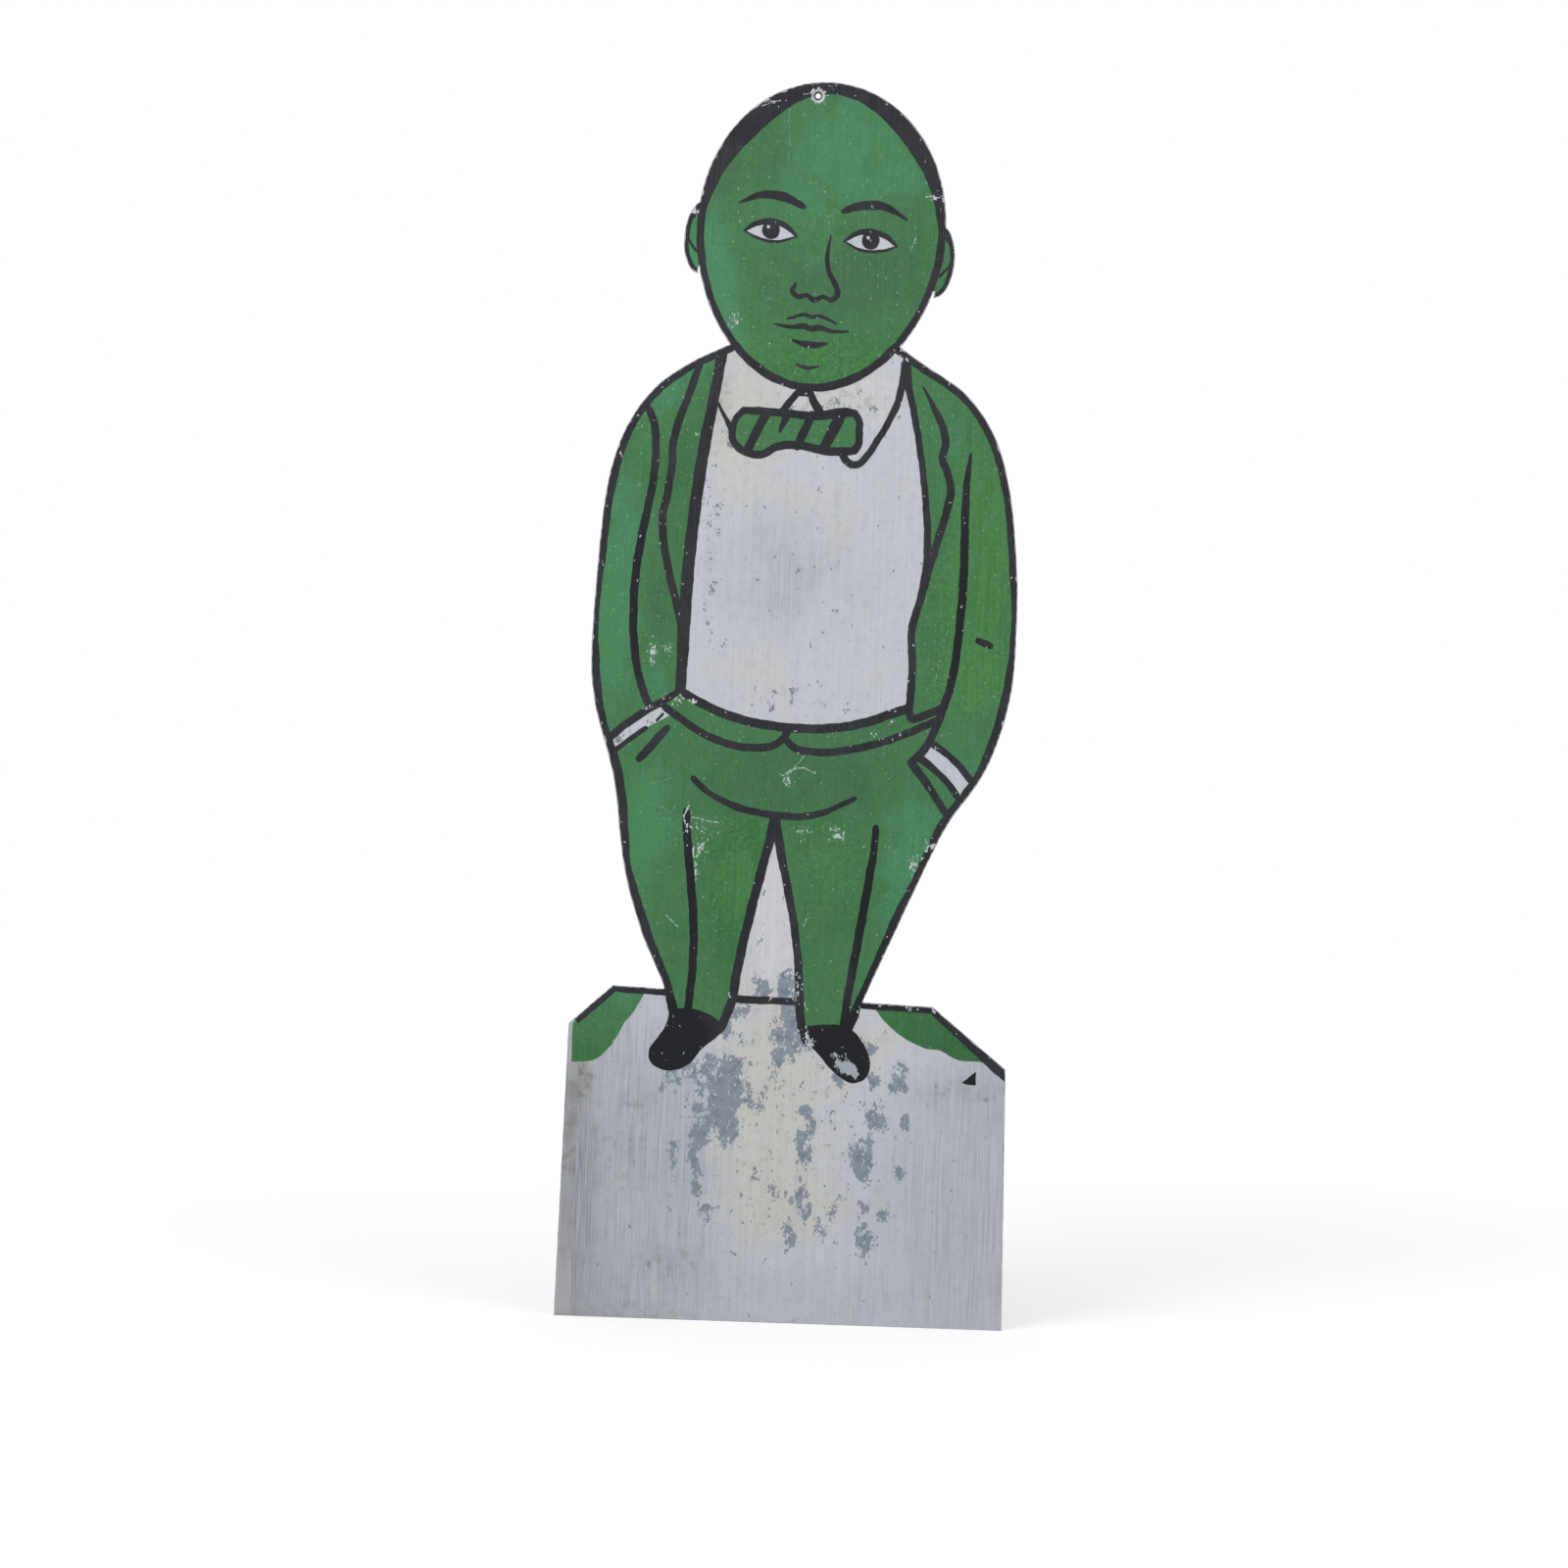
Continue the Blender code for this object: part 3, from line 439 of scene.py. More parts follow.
def surface(tree, shader, colour, roughness, height, depth):
    """Give a shader its colour and roughness, and a bump whose height runs from 0 to 1 over `depth` metres."""
    bump = add(tree, "ShaderNodeBump", 1.0, depth)
    feed(tree, bump.inputs["Height"], height)
    feed(tree, shader.inputs["Normal"], bump.outputs[0])
    feed(tree, shader.inputs["Base Color"], colour)
    feed(tree, shader.inputs["Roughness"], roughness)


def wear(piece, material):
    """Give a piece its material, which already carries the name of its record's slot."""
    piece.data.materials.append(material)


# Fine upright streaks, as rolling leaves them in metal and a dragged brush in paint:
# noise on places that are stretched 70 times along the height.
hairlines, given, result = group("hairlines", "Streak", Fineness=900.0)
squeezed = arrow(hairlines, "MULTIPLY", given["Place"], (1.0, 0.2, 0.014)).outputs[0]
streak = noise(hairlines, squeezed, given["Fineness"], detail=3.0, roughness=0.6).outputs[0]
feed(hairlines, result, spread(hairlines, streak, 0.3, 0.7))

# Cloudy patches, for tone, grime and water stains: noise that is cut off below and above.
clouds, given, result = group("clouds", "Cloud", Scale=12.0, Low=0.35, High=0.65)
cloud = noise(clouds, given["Place"], given["Scale"], detail=5.0, roughness=0.55).outputs[0]
feed(clouds, result, spread(clouds, cloud, given["Low"], given["High"]))

# Pin dots, where paint has popped off in points: cells of a jittered grid, a share of them dotted,
# each dot as large as its cell's own random number makes it, with a border that noise has shaken.
DOT_SHAKE = (0.0009, 0.0009, 0.0009)
pin_dots, given, result = group("pin_dots", "Dots", Scale=250.0, Share=0.2, Size=0.2)
shake = noise(pin_dots, given["Place"], scale=1400.0, detail=2.0, roughness=0.6).outputs["Color"]
shaken = arrow(pin_dots, "MULTIPLY_ADD", shake, DOT_SHAKE, given["Place"]).outputs[0]
cells = add(pin_dots, "ShaderNodeTexVoronoi", shaken, None, given["Scale"])
chance = add(pin_dots, "ShaderNodeSeparateColor", cells.outputs["Color"]).outputs[0]
picked = reckon(pin_dots, "LESS_THAN", chance, given["Share"])
radius = reckon(pin_dots, "MULTIPLY", reckon(pin_dots, "DIVIDE", chance, given["Share"]), given["Size"])
inside = reckon(pin_dots, "LESS_THAN", cells.outputs["Distance"], radius)
feed(pin_dots, result, reckon(pin_dots, "MULTIPLY", picked, inside))

# Islands where a coat has flaked off, with the notched borders of broken paint: small uneven plates,
# each bare or whole by the noise at its middle, lifted by a mark and cut off sharply at a threshold.
flakes, given, result = group("flakes", "Bare", Mark=0.0, Scale=130.0)
finer = reckon(flakes, "MULTIPLY", given["Scale"], 6.5)
shake = noise(flakes, given["Place"], finer, detail=3.0, roughness=0.6).outputs["Color"]
shift = arrow(flakes, "SCALE", shake)
feed(flakes, shift.inputs["Scale"], reckon(flakes, "DIVIDE", 0.16, given["Scale"]))
shaken = arrow(flakes, "ADD", given["Place"], shift.outputs[0]).outputs[0]
squeezed = arrow(flakes, "MULTIPLY", shaken, (1.0, 0.2, 0.7)).outputs[0]
plates = add(flakes, "ShaderNodeTexVoronoi", squeezed, None, finer, distance="CHEBYCHEV")
broad = noise(flakes, plates.outputs["Position"], given["Scale"], detail=4.0, roughness=0.62).outputs[0]
weak = add(flakes, "ShaderNodeSeparateColor", plates.outputs["Color"]).outputs[0]
lifted = reckon(flakes, "MULTIPLY_ADD", given["Mark"], 0.34, broad)
lifted = reckon(flakes, "MULTIPLY_ADD", weak, 0.05, lifted)
feed(flakes, result, spread(flakes, lifted, 0.71, 0.72))

# A scratch: places within a width of the straight line between two points, where the width comes and
# goes with noise, and a sideways noise bends the line.
SCRATCH_BEND = (0.004, 0.0, 0.004)
scratch, given, result = group("scratch", "Line", Start=None, Run=None, Width=0.0004)
waver = noise(scratch, given["Place"], scale=60.0, detail=3.0, roughness=0.5).outputs["Color"]
waver = arrow(scratch, "ADD", waver, (-0.5, -0.5, -0.5)).outputs[0]
bent = arrow(scratch, "MULTIPLY_ADD", waver, SCRATCH_BEND, given["Place"]).outputs[0]
off = arrow(scratch, "SUBTRACT", bent, given["Start"]).outputs[0]
off = arrow(scratch, "MULTIPLY", off, (1.0, 0.0, 1.0)).outputs[0]
ahead = arrow(scratch, "DOT_PRODUCT", off, given["Run"]).outputs["Value"]
whole = arrow(scratch, "DOT_PRODUCT", given["Run"], given["Run"]).outputs["Value"]
foot = arrow(scratch, "SCALE", given["Run"])
share = add(scratch, "ShaderNodeClamp", reckon(scratch, "DIVIDE", ahead, whole)).outputs[0]
feed(scratch, foot.inputs["Scale"], share)
away = arrow(scratch, "DISTANCE", off, foot.outputs[0]).outputs["Value"]
broken = noise(scratch, given["Place"], scale=420.0, detail=2.0, roughness=0.6).outputs[0]
width = reckon(scratch, "MULTIPLY", spread(scratch, broken, 0.38, 0.62, 0.1, 1.5), given["Width"])
line = spread(scratch, reckon(scratch, "DIVIDE", away, width), 0.7, 1.3)
feed(scratch, result, reckon(scratch, "SUBTRACT", 1.0, line))


def scratched(tree, place, bare, table):
    """A bare mask with a table's scratches: rows of x and z at the start and the end, and a width, in mm."""
    for start_x, start_z, end_x, end_z, wide in table:
        start = (0.001 * start_x, 0.0, 0.001 * start_z)
        run = (0.001 * (end_x - start_x), 0.0, 0.001 * (end_z - start_z))
        line = use(tree, scratch, place, Start=start, Run=run, Width=0.0005 * wide)
        bare = reckon(tree, "MAXIMUM", bare, line)
    return bare


# The bare metal: dull aged aluminium, rolled upright, lighter where it was cut and where the punch
# dished it, with painted shade, near black, in the nail hole's bore and inner dish. The back has
# tide lines of old damp, oxide specks and the long scratches of handling.
METAL_DARK = (0.275, 0.283, 0.315)
METAL_LIGHT = (0.415, 0.427, 0.465)
CUT_METAL = (0.50, 0.51, 0.53)
HANDLED_METAL = (0.450, 0.437, 0.465)
METAL_STAIN = (0.17, 0.155, 0.13)
METAL_OXIDE = (0.62, 0.62, 0.60)
METAL_BORE_SHADE = (0.03, 0.028, 0.025)
METAL_SCRATCHES = [
    (-120, 640, 40, 480, 0.7), (-60, 760, 70, 880, 0.5), (110, 600, 60, 300, 0.5),
    (-140, 180, 120, 60, 0.7), (-40, 420, 20, 240, 0.4), (20, 140, 150, 90, 0.5),
    (-100, 520, -20, 500, 0.6), (40, 700, 90, 560, 0.4),
]
bare_metal, tree, shader, place = new_finish("bare_metal")
streaks = use(tree, hairlines, place, Fineness=1500.0)
old = use(tree, clouds, place, Scale=9.0, Low=0.42, High=0.62)
from_tide = reckon(tree, "ABSOLUTE", reckon(tree, "SUBTRACT", old, 0.3))
tide = reckon(tree, "SUBTRACT", 1.0, spread(tree, from_tide, 0.02, 0.16))
smut = use(tree, clouds, place, Scale=70.0, Low=0.45, High=0.8)
oxide = use(tree, pin_dots, place, Scale=210.0, Share=0.22, Size=0.16)
scored = scratched(tree, place, 0.0, METAL_SCRATCHES)
colour = tint(tree, streaks, METAL_DARK, METAL_LIGHT)
colour = tint(tree, old, colour, METAL_STAIN, strength=0.30)
colour = tint(tree, tide, colour, METAL_STAIN, strength=0.35)
colour = tint(tree, smut, colour, METAL_STAIN, strength=0.35)
colour = tint(tree, amount(tree, "damp"), colour, METAL_STAIN, strength=between(tree, smut, 0.4, 0.9))
colour = tint(tree, oxide, colour, METAL_OXIDE, strength=between(tree, old, 0.15, 0.75))
colour = tint(tree, scored, colour, METAL_OXIDE, strength=0.6)
colour = tint(tree, amount(tree, "handled"), colour, HANDLED_METAL, strength=0.85)
colour = tint(tree, amount(tree, "cut"), colour, CUT_METAL)
colour = tint(tree, amount(tree, "punched"), colour, CUT_METAL, strength=between(tree, smut, 1.0, 0.5))
# Painted shade in the nail hole: its bore and inner dish turn near black.
colour = tint(tree, amount(tree, "lip"), colour, METAL_BORE_SHADE, strength=0.9)
height = reckon(tree, "MULTIPLY_ADD", scored, -1.0, streaks)
surface(tree, shader, colour, between(tree, old, 0.42, 0.62), height, depth=0.00002)
shader.inputs["Metallic"].default_value = 0.85
wear(sheet, bare_metal)


# The pale ground: a coat of light grey enamel brushed upright over the blank, but not over a margin
# on the pedestal's left. It has yellowed in the middle and flaked off to the metal in ragged islands.
COAT_GAP = 0.00004
COAT = 0.00005
COAT_MESH = 0.003
COAT_STEP = 0.001
COAT_WAVER = 0.0003
GROUND_FRONT = SHEET_FRONT - COAT_GAP - COAT
GROUND_MARGIN = 0.00045
NEAR_EDGE = 0.004


def from_silhouette(places):
    """How far each place lies from the nearest point of the silhouette, and that point's number.

    The places are taken some 500 at a time, which keeps the table of distances small.
    """
    some_places = np.array_split(places, len(places) // 500 + 1)
    far = np.concatenate([np.hypot(*(some[:, None] - silhouette).T).T for some in some_places])
    return far.min(axis=1), far.argmin(axis=1)


def kept_back(loop, margin):
    """A loop drawn back from the blank's cut edge, so that a thin line of what lies under it shows.

    A point's depth is measured along the side of the nearest point of the silhouette. Where it is less
    than the margin, which wavers by a third and doubles at a few nicks, the point moves in.
    """
    far, nearest = from_silhouette(loop)
    side = silhouette_side[nearest]
    deep = ((silhouette[nearest] - loop) * side).sum(axis=1)
    x, z = loop.T
    nick = np.maximum(np.sin(131 * x + 2 * np.sin(57 * z)) * np.sin(173 * z + 41 * x) - 0.86, 0)
    wanted = margin * (1 + 0.2 * np.sin(900 * x + 700 * z) + 0.13 * np.sin(310 * z - 450 * x) + 9 * nick)
    short = np.where(far < NEAR_EDGE, np.maximum(wanted - deep, 0), 0)
    return loop - short[:, None] * side


def coat(name, node, front, margin, step=COAT_STEP, growth=None):
    """One unbroken patch of paint: its node's outline smoothed, grown, made unsteady and kept off the edge."""
    loops = [smoothed(loop, step) for loop in outline(node)]
    if growth:
        loops = [loop + growth(loop)[:, None] * aside(loop) for loop in loops]
    loops = [kept_back(unsteady(loop, COAT_WAVER), margin) for loop in loops]
    return slab(name, node, loops, COAT_MESH, front, front + COAT)


def patches(places, table):
    """How strongly soft ovals cover each place. A row gives left, right, low, high in mm, and a strength.

    An oval's share is its strength times exp(-r ** 3), where r is 1 on the ellipse in its box. Sines
    of the place, 20 to 40 mm long, first shift it by up to 2 mm, so that no oval has an even border.
    """
    x, z = 1000 * places.T
    shifted = x + 1.1 * np.sin(0.17 * z + 0.3) + 0.9 * np.sin(0.31 * z - 0.13 * x)
    x, z = shifted, z + 2 * np.sin(0.19 * x + 0.07 * z)
    left, right, low, high, strength = np.array(table, float).T[..., None]
    r_squared = ((2 * x - left - right) / (right - left)) ** 2 + ((2 * z - low - high) / (high - low)) ** 2
    return (strength * np.exp(-r_squared ** 1.5)).sum(axis=0)


def mark_patches(piece, places, **tables):
    """A mark for each table of ovals, by the table's name."""
    for name, table in tables.items():
        mark(piece, name, patches(places, table))


def laid(tree, name, cloudy, uneven=0.8):
    """How much of a tone shows at its mark: a cloudy mask makes the border uneven, as a brush does."""
    return spread(tree, reckon(tree, "MULTIPLY_ADD", cloudy, uneven, amount(tree, name)), 0.45, 1.35)


# Where the ground has flaked, yellowed, greyed, been laid thin or stained, and where it stayed clean.
FLAKED = [
    (-68, -30, 166, 198, 0.62), (-52, -31, 150, 182, 0.58), (-70, -38, 128, 168, 0.54),
    (-47, -33, 126, 178, 0.54), (-94, -68, 166, 190, 0.46), (-79, -69, 182, 195, 0.72),
    (-85, -76, 110, 136, 0.60), (-70, -60, 106, 142, 0.58), (-61, -50, 72, 90, 0.60),
    (-67, -57, 88, 114, 0.42), (-51, -40, 206, 223, 0.68), (-26, -13, 156, 174, 0.44),
    (-41, -26, 222, 236, 0.66), (-30, -13, 235, 258, 0.68), (-12, 9, 235, 261, 0.68),
    (-31, -28, 257, 271, 0.44), (-8, 8, 218, 239, 0.62), (-10, 15, 195, 223, 0.64),
    (-16, -4, 205, 221, 0.58), (-11, 0, 186, 199, 0.70), (-14, -5, 175, 184, 0.60),
    (-42, -22, 203, 210, 0.40), (52, 66, 197, 214, 0.60), (58, 69, 174, 187, 0.74),
    (33, 43, 176, 188, 0.68), (76, 93, 181, 195, 0.48), (74, 89, 171, 183, 0.70), (10, 20, 112, 139, 0.72),
    (15, 24, 140, 161, 0.68), (7, 16, 86, 106, 0.64), (13, 23, 78, 89, 0.70), (60, 75, 140, 164, 0.72),
    (84, 94, 145, 157, 0.78), (48, 63, 118, 143, 0.58), (52, 66, 103, 129, 0.72), (81, 90, 104, 119, 0.74),
    (71, 80, 77, 90, 0.74), (56, 66, 80, 91, 0.64), (33, 43, 76, 92, 0.52), (-12, -4, 86, 102, 0.58),
    (0, 10, 50, 79, 0.70), (22, 33, 62, 75, 0.68), (54, 68, 46, 78, 0.66), (11, 21, 155, 162, 0.64),
    (-78, -60, 480, 650, 0.30), (-20, 60, 655, 690, 0.26), (-60, 60, 445, 475, 0.2),
    (-90, 100, 40, 235, 0.18), (-7, 4, 896, 908, 0.75), (-96, -86, 810, 824, 0.5),
    (-136, -128, 419, 426, 0.60), (-113, -105, 433, 441, 0.50), (-62, -48, 640, 662, 0.34),
    (-40, 60, 480, 640, 0.09), (-25, -20, 272, 286, 0.46), (-23, -20, 316, 326, 0.40),
    (-134, -110, 419, 440, 0.38),
]
CREAM = [
    (-52, 36, 62, 262, 1.0), (-78, -14, 600, 710, 1.0), (14, 70, 655, 708, 0.7), (-10, 24, 245, 330, 0.1),
    (30, 80, 180, 225, 0.7), (-162, -149, 170, 205, 0.9), (-60, 0, 440, 500, 0.45),
    (-20, 50, 560, 640, 0.35), (-60, 60, 60, 110, 0.5),
]
GREY = [
    (-270, -38, -60, 250, 1.6), (44, 260, -60, 225, 0.95), (-80, 90, 490, 620, 0.55),
    (-60, 70, -30, 50, 0.5), (-90, -60, 500, 600, 0.15), (96, 180, 140, 205, 0.3),
    (-80, 14, 480, 620, 0.28),
]
THIN = [(-182, -136, 22, 192, 1.5), (-170, 170, -8, 6, 0.15), (-178, -116, -30, 66, 0.55)]
TAN = [
    (-157, -144, 158, 190, 1.3), (-142, -100, 88, 150, 0.3), (-104, -54, 30, 56, 0.4),
    (36, 44, 699, 707, 0.9), (-124, -90, 148, 172, 0.35), (-168, -152, 20, 50, 0.3),
    (-166, -60, -4, 10, 0.2), (-70, -56, 640, 700, 0.4), (-20, 60, 665, 690, 0.4),
    (90, 165, 168, 182, 0.35), (-150, -60, -10, 30, 0.12),
]
CLEAN = [(-36, 14, 238, 372, 1.3), (28, 76, 655, 708, 1.0), (-30, 34, 655, 704, 1.1)]
ground, places = coat("ground", "pale_ground", GROUND_FRONT, GROUND_MARGIN)
mark_patches(ground, places, flaked=FLAKED, cream=CREAM, grey=GREY, clean=CLEAN, thin=THIN, tan=TAN)

PALE = (0.500, 0.514, 0.566)
PALE_CLEAN = (0.575, 0.580, 0.594)
PALE_GREY = (0.340, 0.366, 0.420)
PALE_CREAM = (0.515, 0.513, 0.478)
PALE_THIN = (0.205, 0.211, 0.240)
PALE_TAN = (0.195, 0.165, 0.130)
PALE_SHADE = (0.15, 0.165, 0.20)
PALE_LIGHT = (0.72, 0.73, 0.78)
UNDER_FLAKES = (0.150, 0.188, 0.236)
UNDER_LIGHT = (0.225, 0.258, 0.306)
PALE_SPECK = (0.12, 0.12, 0.13)
pale_enamel, tree, shader, place = new_finish("pale_enamel")
brushed = use(tree, hairlines, place, Fineness=420.0)
fine = use(tree, hairlines, place, Fineness=1500.0)
cloud = use(tree, clouds, place, Scale=30.0, Low=0.25, High=0.75)
dirt = use(tree, clouds, place, Scale=150.0, Low=0.42, High=0.72)
specks = use(tree, pin_dots, place, Scale=260.0, Share=0.16, Size=0.11)
flaked = amount(tree, "flaked")
islands = use(tree, flakes, place, Mark=flaked, Scale=130.0)
crumbs = use(tree, flakes, place, Mark=reckon(tree, "MULTIPLY", flaked, 0.75), Scale=340.0)
left_over = use(tree, flakes, place, Mark=0.20, Scale=280.0)
bare = reckon(tree, "MAXIMUM", islands, crumbs)
bare = reckon(tree, "MINIMUM", bare, reckon(tree, "SUBTRACT", 1.0, left_over))
grey = laid(tree, "grey", cloud, uneven=0.35)
dragged = between(tree, grey, 0.5, 1.1)
tan = reckon(tree, "MULTIPLY", amount(tree, "tan"), between(tree, dirt, 0.3, 1.0))
colour = tint(tree, grey, PALE, PALE_GREY)
colour = tint(tree, laid(tree, "cream", cloud), colour, PALE_CREAM)
colour = tint(tree, laid(tree, "clean", cloud, uneven=0.35), colour, PALE_CLEAN)
colour = tint(tree, laid(tree, "thin", fine), colour, PALE_THIN, strength=0.9)
colour = tint(tree, dragged, colour, PALE_SHADE, strength=between(tree, brushed, 0.17, 0.0))
colour = tint(tree, dragged, colour, PALE_LIGHT, strength=between(tree, fine, 0.0, 0.32))
colour = tint(tree, between(tree, dirt, 0.0, 0.10), colour, PALE_SHADE)
colour = tint(tree, reckon(tree, "MINIMUM", tan, 0.9), colour, PALE_TAN)
colour = tint(tree, specks, colour, PALE_SPECK, strength=0.8)
colour = tint(tree, bare, colour, tint(tree, dirt, UNDER_LIGHT, UNDER_FLAKES))
height = reckon(tree, "MULTIPLY_ADD", fine, 0.25, reckon(tree, "SUBTRACT", 1.0, bare))
surface(tree, shader, colour, between(tree, bare, 0.5, 0.42), height, depth=0.00004)
shader.inputs["Specular IOR Level"].default_value = 0.3
wear(ground, pale_enamel)


# The green fields: satin enamel laid inside the figure's outlines and on the pedestal's upper corners.
# It has faded bluish in broad patches, and it is scratched and chipped down to the pale ground.
GREEN_FRONT = GROUND_FRONT - COAT_GAP - COAT
GREEN_MARGIN = 0.0007
GREEN_FIELDS = [
    "green_head", "green_left_ear", "green_right_ear", "green_bow_tie", "green_left_sleeve",
    "green_left_front", "green_right_jacket", "green_left_waistband", "green_right_waistband",
    "green_right_pocket", "green_trousers", "green_left_corner", "green_right_corner",
]

# Where each green tone lies, and where the paint is chipped, finely speckled or scratched.
BLUISH = [
    (-112, -58, 700, 815, 1.1), (-85, -40, 690, 760, 0.6), (-24, 82, 815, 906, 0.8),
    (-30, 20, 770, 850, 0.35), (-156, -120, 440, 590, 1.0), (-146, -116, 570, 640, 0.5),
    (-128, -100, 620, 670, 0.35), (-136, -84, 310, 405, 0.85), (62, 116, 300, 400, 0.85),
    (68, 110, 640, 700, 0.2), (-100, -30, 425, 455, 0.25), (100, 140, 390, 470, 0.35),
    (-136, -104, 222, 250, 0.6), (52, 74, 226, 242, 0.4), (20, 60, 250, 290, 0.3), (90, 120, 600, 660, 0.3),
    (56, 84, 240, 330, 0.3), (-120, -96, 448, 504, 0.4), (-136, -86, 668, 718, 0.6),
    (-20, 24, 425, 450, 0.4),
]
DEEP = [
    (-62, -14, 255, 360, 1.3), (4, 64, 255, 372, 0.45), (-40, 60, 684, 730, 1.1), (70, 175, 165, 240, 2.3),
    (-175, -130, 164, 205, 1.2), (86, 160, 440, 640, 0.6), (-104, -62, 480, 700, 0.5),
    (-100, -80, 240, 300, 0.4), (58, 100, 218, 240, 0.7), (-120, -86, 590, 665, 0.6),
    (-140, -120, 320, 350, 0.4), (-150, -120, 610, 660, 0.5), (-80, 80, 366, 384, 0.5),
    (60, 90, 700, 790, 0.3), (-90, 24, 334, 384, 0.35), (-100, -68, 425, 475, 0.4),
]
OLIVE = [
    (-72, -10, 830, 895, 0.6), (-40, 90, 735, 812, 0.9), (-78, 84, 372, 428, 1.0),
    (-116, -92, 490, 580, 0.8), (-88, -64, 560, 700, 0.6), (-150, -128, 460, 500, 0.3),
    (40, 100, 800, 840, 0.4), (-30, 110, 430, 455, 0.5), (-104, -88, 590, 670, 0.7),
    (60, 90, 740, 800, 0.2), (-90, -60, 820, 860, 0.6),
]
BRIGHT = [
    (106, 152, 480, 650, 1.2), (-58, -22, 290, 352, 1.0), (-30, 60, 690, 730, 0.6), (10, 50, 300, 370, 0.5),
    (-30, 30, 780, 830, 0.4), (90, 130, 440, 560, 0.45), (-134, -96, 300, 400, 0.6),
    (60, 100, 640, 700, 0.3), (-156, -126, 440, 560, 0.4), (-60, -20, 700, 740, 0.5),
    (30, 80, 850, 890, 0.3), (108, 150, 455, 505, 1.0),
]
CHIPPED = [
    (-96, -86, 810, 824, 0.8), (83, 88, 826, 835, 0.6), (-76, -61, 337, 352, 0.50),
    (-76, -70, 319, 339, 0.54), (26, 36, 353, 367, 0.54), (84, 93, 334, 347, 0.54),
    (94, 101, 345, 359, 0.44), (52, 59, 432, 438, 0.52), (67, 71, 442, 447, 0.62),
    (-112, -103, 488, 494, 0.74), (-111, -106, 493, 498, 0.66), (-110, -105, 480, 487, 0.62),
    (-100, -92, 488, 496, 0.44), (-95, -79, 453, 463, 0.56), (-127, -122, 652, 658, 0.42),
    (-63, -51, 730, 742, 0.4), (-86, -81, 647, 651, 0.36), (-112, -108, 632, 636, 0.36),
    (-8, 5, 895, 909, 0.8), (9, 14, 291, 299, 0.56), (-12, -4, 396, 404, 0.56), (-4, 12, 360, 367, 0.36),
    (-200, 200, 240, 920, 0.05), (-88, -50, 354, 370, 0.22), (11, 16, 228, 236, 0.66),
]
SPECKLED = [
    (84, 152, 448, 508, 1.0), (-66, -24, 346, 372, 0.9), (-50, 60, 690, 722, 0.7), (4, 44, 320, 380, 0.6),
    (100, 140, 520, 600, 0.35), (-120, -90, 640, 700, 0.5),
]
GREEN_SCRATCHES = [
    (-11, 402, -4, 407, 0.7), (-4, 407, 5, 409, 0.7), (5, 409, 14, 405, 0.6), (-10, 399, 11, 423, 0.45),
    (-77, 379, -81.5, 371, 1.1), (-81.5, 371, -80, 364.5, 1.1), (-80, 364.5, -74.4, 360.5, 1.0),
    (-74.7, 369, -55.6, 365.5, 0.55), (-92, 297, -83, 289, 0.6), (-53, 737, -60, 729, 0.4),
    (-22, 845, -22, 893, 0.12), (66, 268, 70, 277, 0.6), (-95, 818, -86, 820, 0.7), (80, 830, 92, 832, 0.6),
    (70, 790, 74, 802, 0.4), (-108, 392, -92, 398, 0.14), (-110, 380, -84, 370, 0.07),
    (-40, 640, -30, 560, 0.2), (98, 470, 110, 530, 0.08), (118, 600, 124, 560, 0.08),
    (-104, 493, -96, 494, 0.3),
]

GREEN_MID = (0.035, 0.148, 0.044)
GREEN_DEEP = (0.015, 0.118, 0.018)
GREEN_OLIVE = (0.030, 0.110, 0.036)
GREEN_BRIGHT = (0.045, 0.190, 0.036)
GREEN_BLUISH = (0.044, 0.206, 0.090)
GREEN_SHADE = (0.010, 0.060, 0.018)
GREEN_LIGHT = (0.16, 0.34, 0.20)
GREEN_SPECKLE = (0.13, 0.33, 0.09)
GREEN_SPECK = (0.40, 0.48, 0.38)
GREEN_SPARK = (0.56, 0.62, 0.56)
GREEN_BARED = (0.50, 0.56, 0.54)
green_enamel, tree, shader, place = new_finish("green_enamel")
grain = use(tree, hairlines, place, Fineness=1900.0)
brushed = use(tree, hairlines, place, Fineness=600.0)
cloud = use(tree, clouds, place, Scale=34.0, Low=0.25, High=0.75)
dabs = use(tree, clouds, place, Scale=90.0, Low=0.4, High=0.7)
mottle = use(tree, clouds, place, Scale=260.0, Low=0.3, High=0.7)
grit = use(tree, clouds, place, Scale=800.0, Low=0.3, High=0.7)
speckle = use(tree, pin_dots, place, Scale=900.0, Share=0.7, Size=0.42)
specks = use(tree, pin_dots, place, Scale=300.0, Share=0.16, Size=0.10)
sparks = use(tree, pin_dots, place, Scale=95.0, Share=0.10, Size=0.034)
bare = use(tree, flakes, place, Mark=amount(tree, "chipped"), Scale=480.0)
bare = scratched(tree, place, bare, GREEN_SCRATCHES)
colour = tint(tree, laid(tree, "deep", cloud), GREEN_MID, GREEN_DEEP)
colour = tint(tree, laid(tree, "olive", cloud), colour, GREEN_OLIVE)
colour = tint(tree, laid(tree, "bluish", cloud), colour, GREEN_BLUISH)
bright = laid(tree, "bright", mottle)
colour = tint(tree, bright, colour, GREEN_BRIGHT, strength=between(tree, brushed, 0.4, 1.0))
colour = tint(tree, spread(tree, amount(tree, "deep"), 1.2, 2.3, 0.0, 0.4), colour, GREEN_SHADE)
colour = tint(tree, between(tree, mottle, 0.20, 0.0), colour, GREEN_SHADE)
colour = tint(tree, between(tree, brushed, 0.08, 0.0), colour, GREEN_SHADE)
colour = tint(tree, between(tree, grit, 0.0, 0.07), colour, GREEN_LIGHT)
colour = tint(tree, dabs, colour, GREEN_BLUISH, strength=0.16)
colour = tint(tree, between(tree, grain, 0.0, 0.13), colour, GREEN_LIGHT)
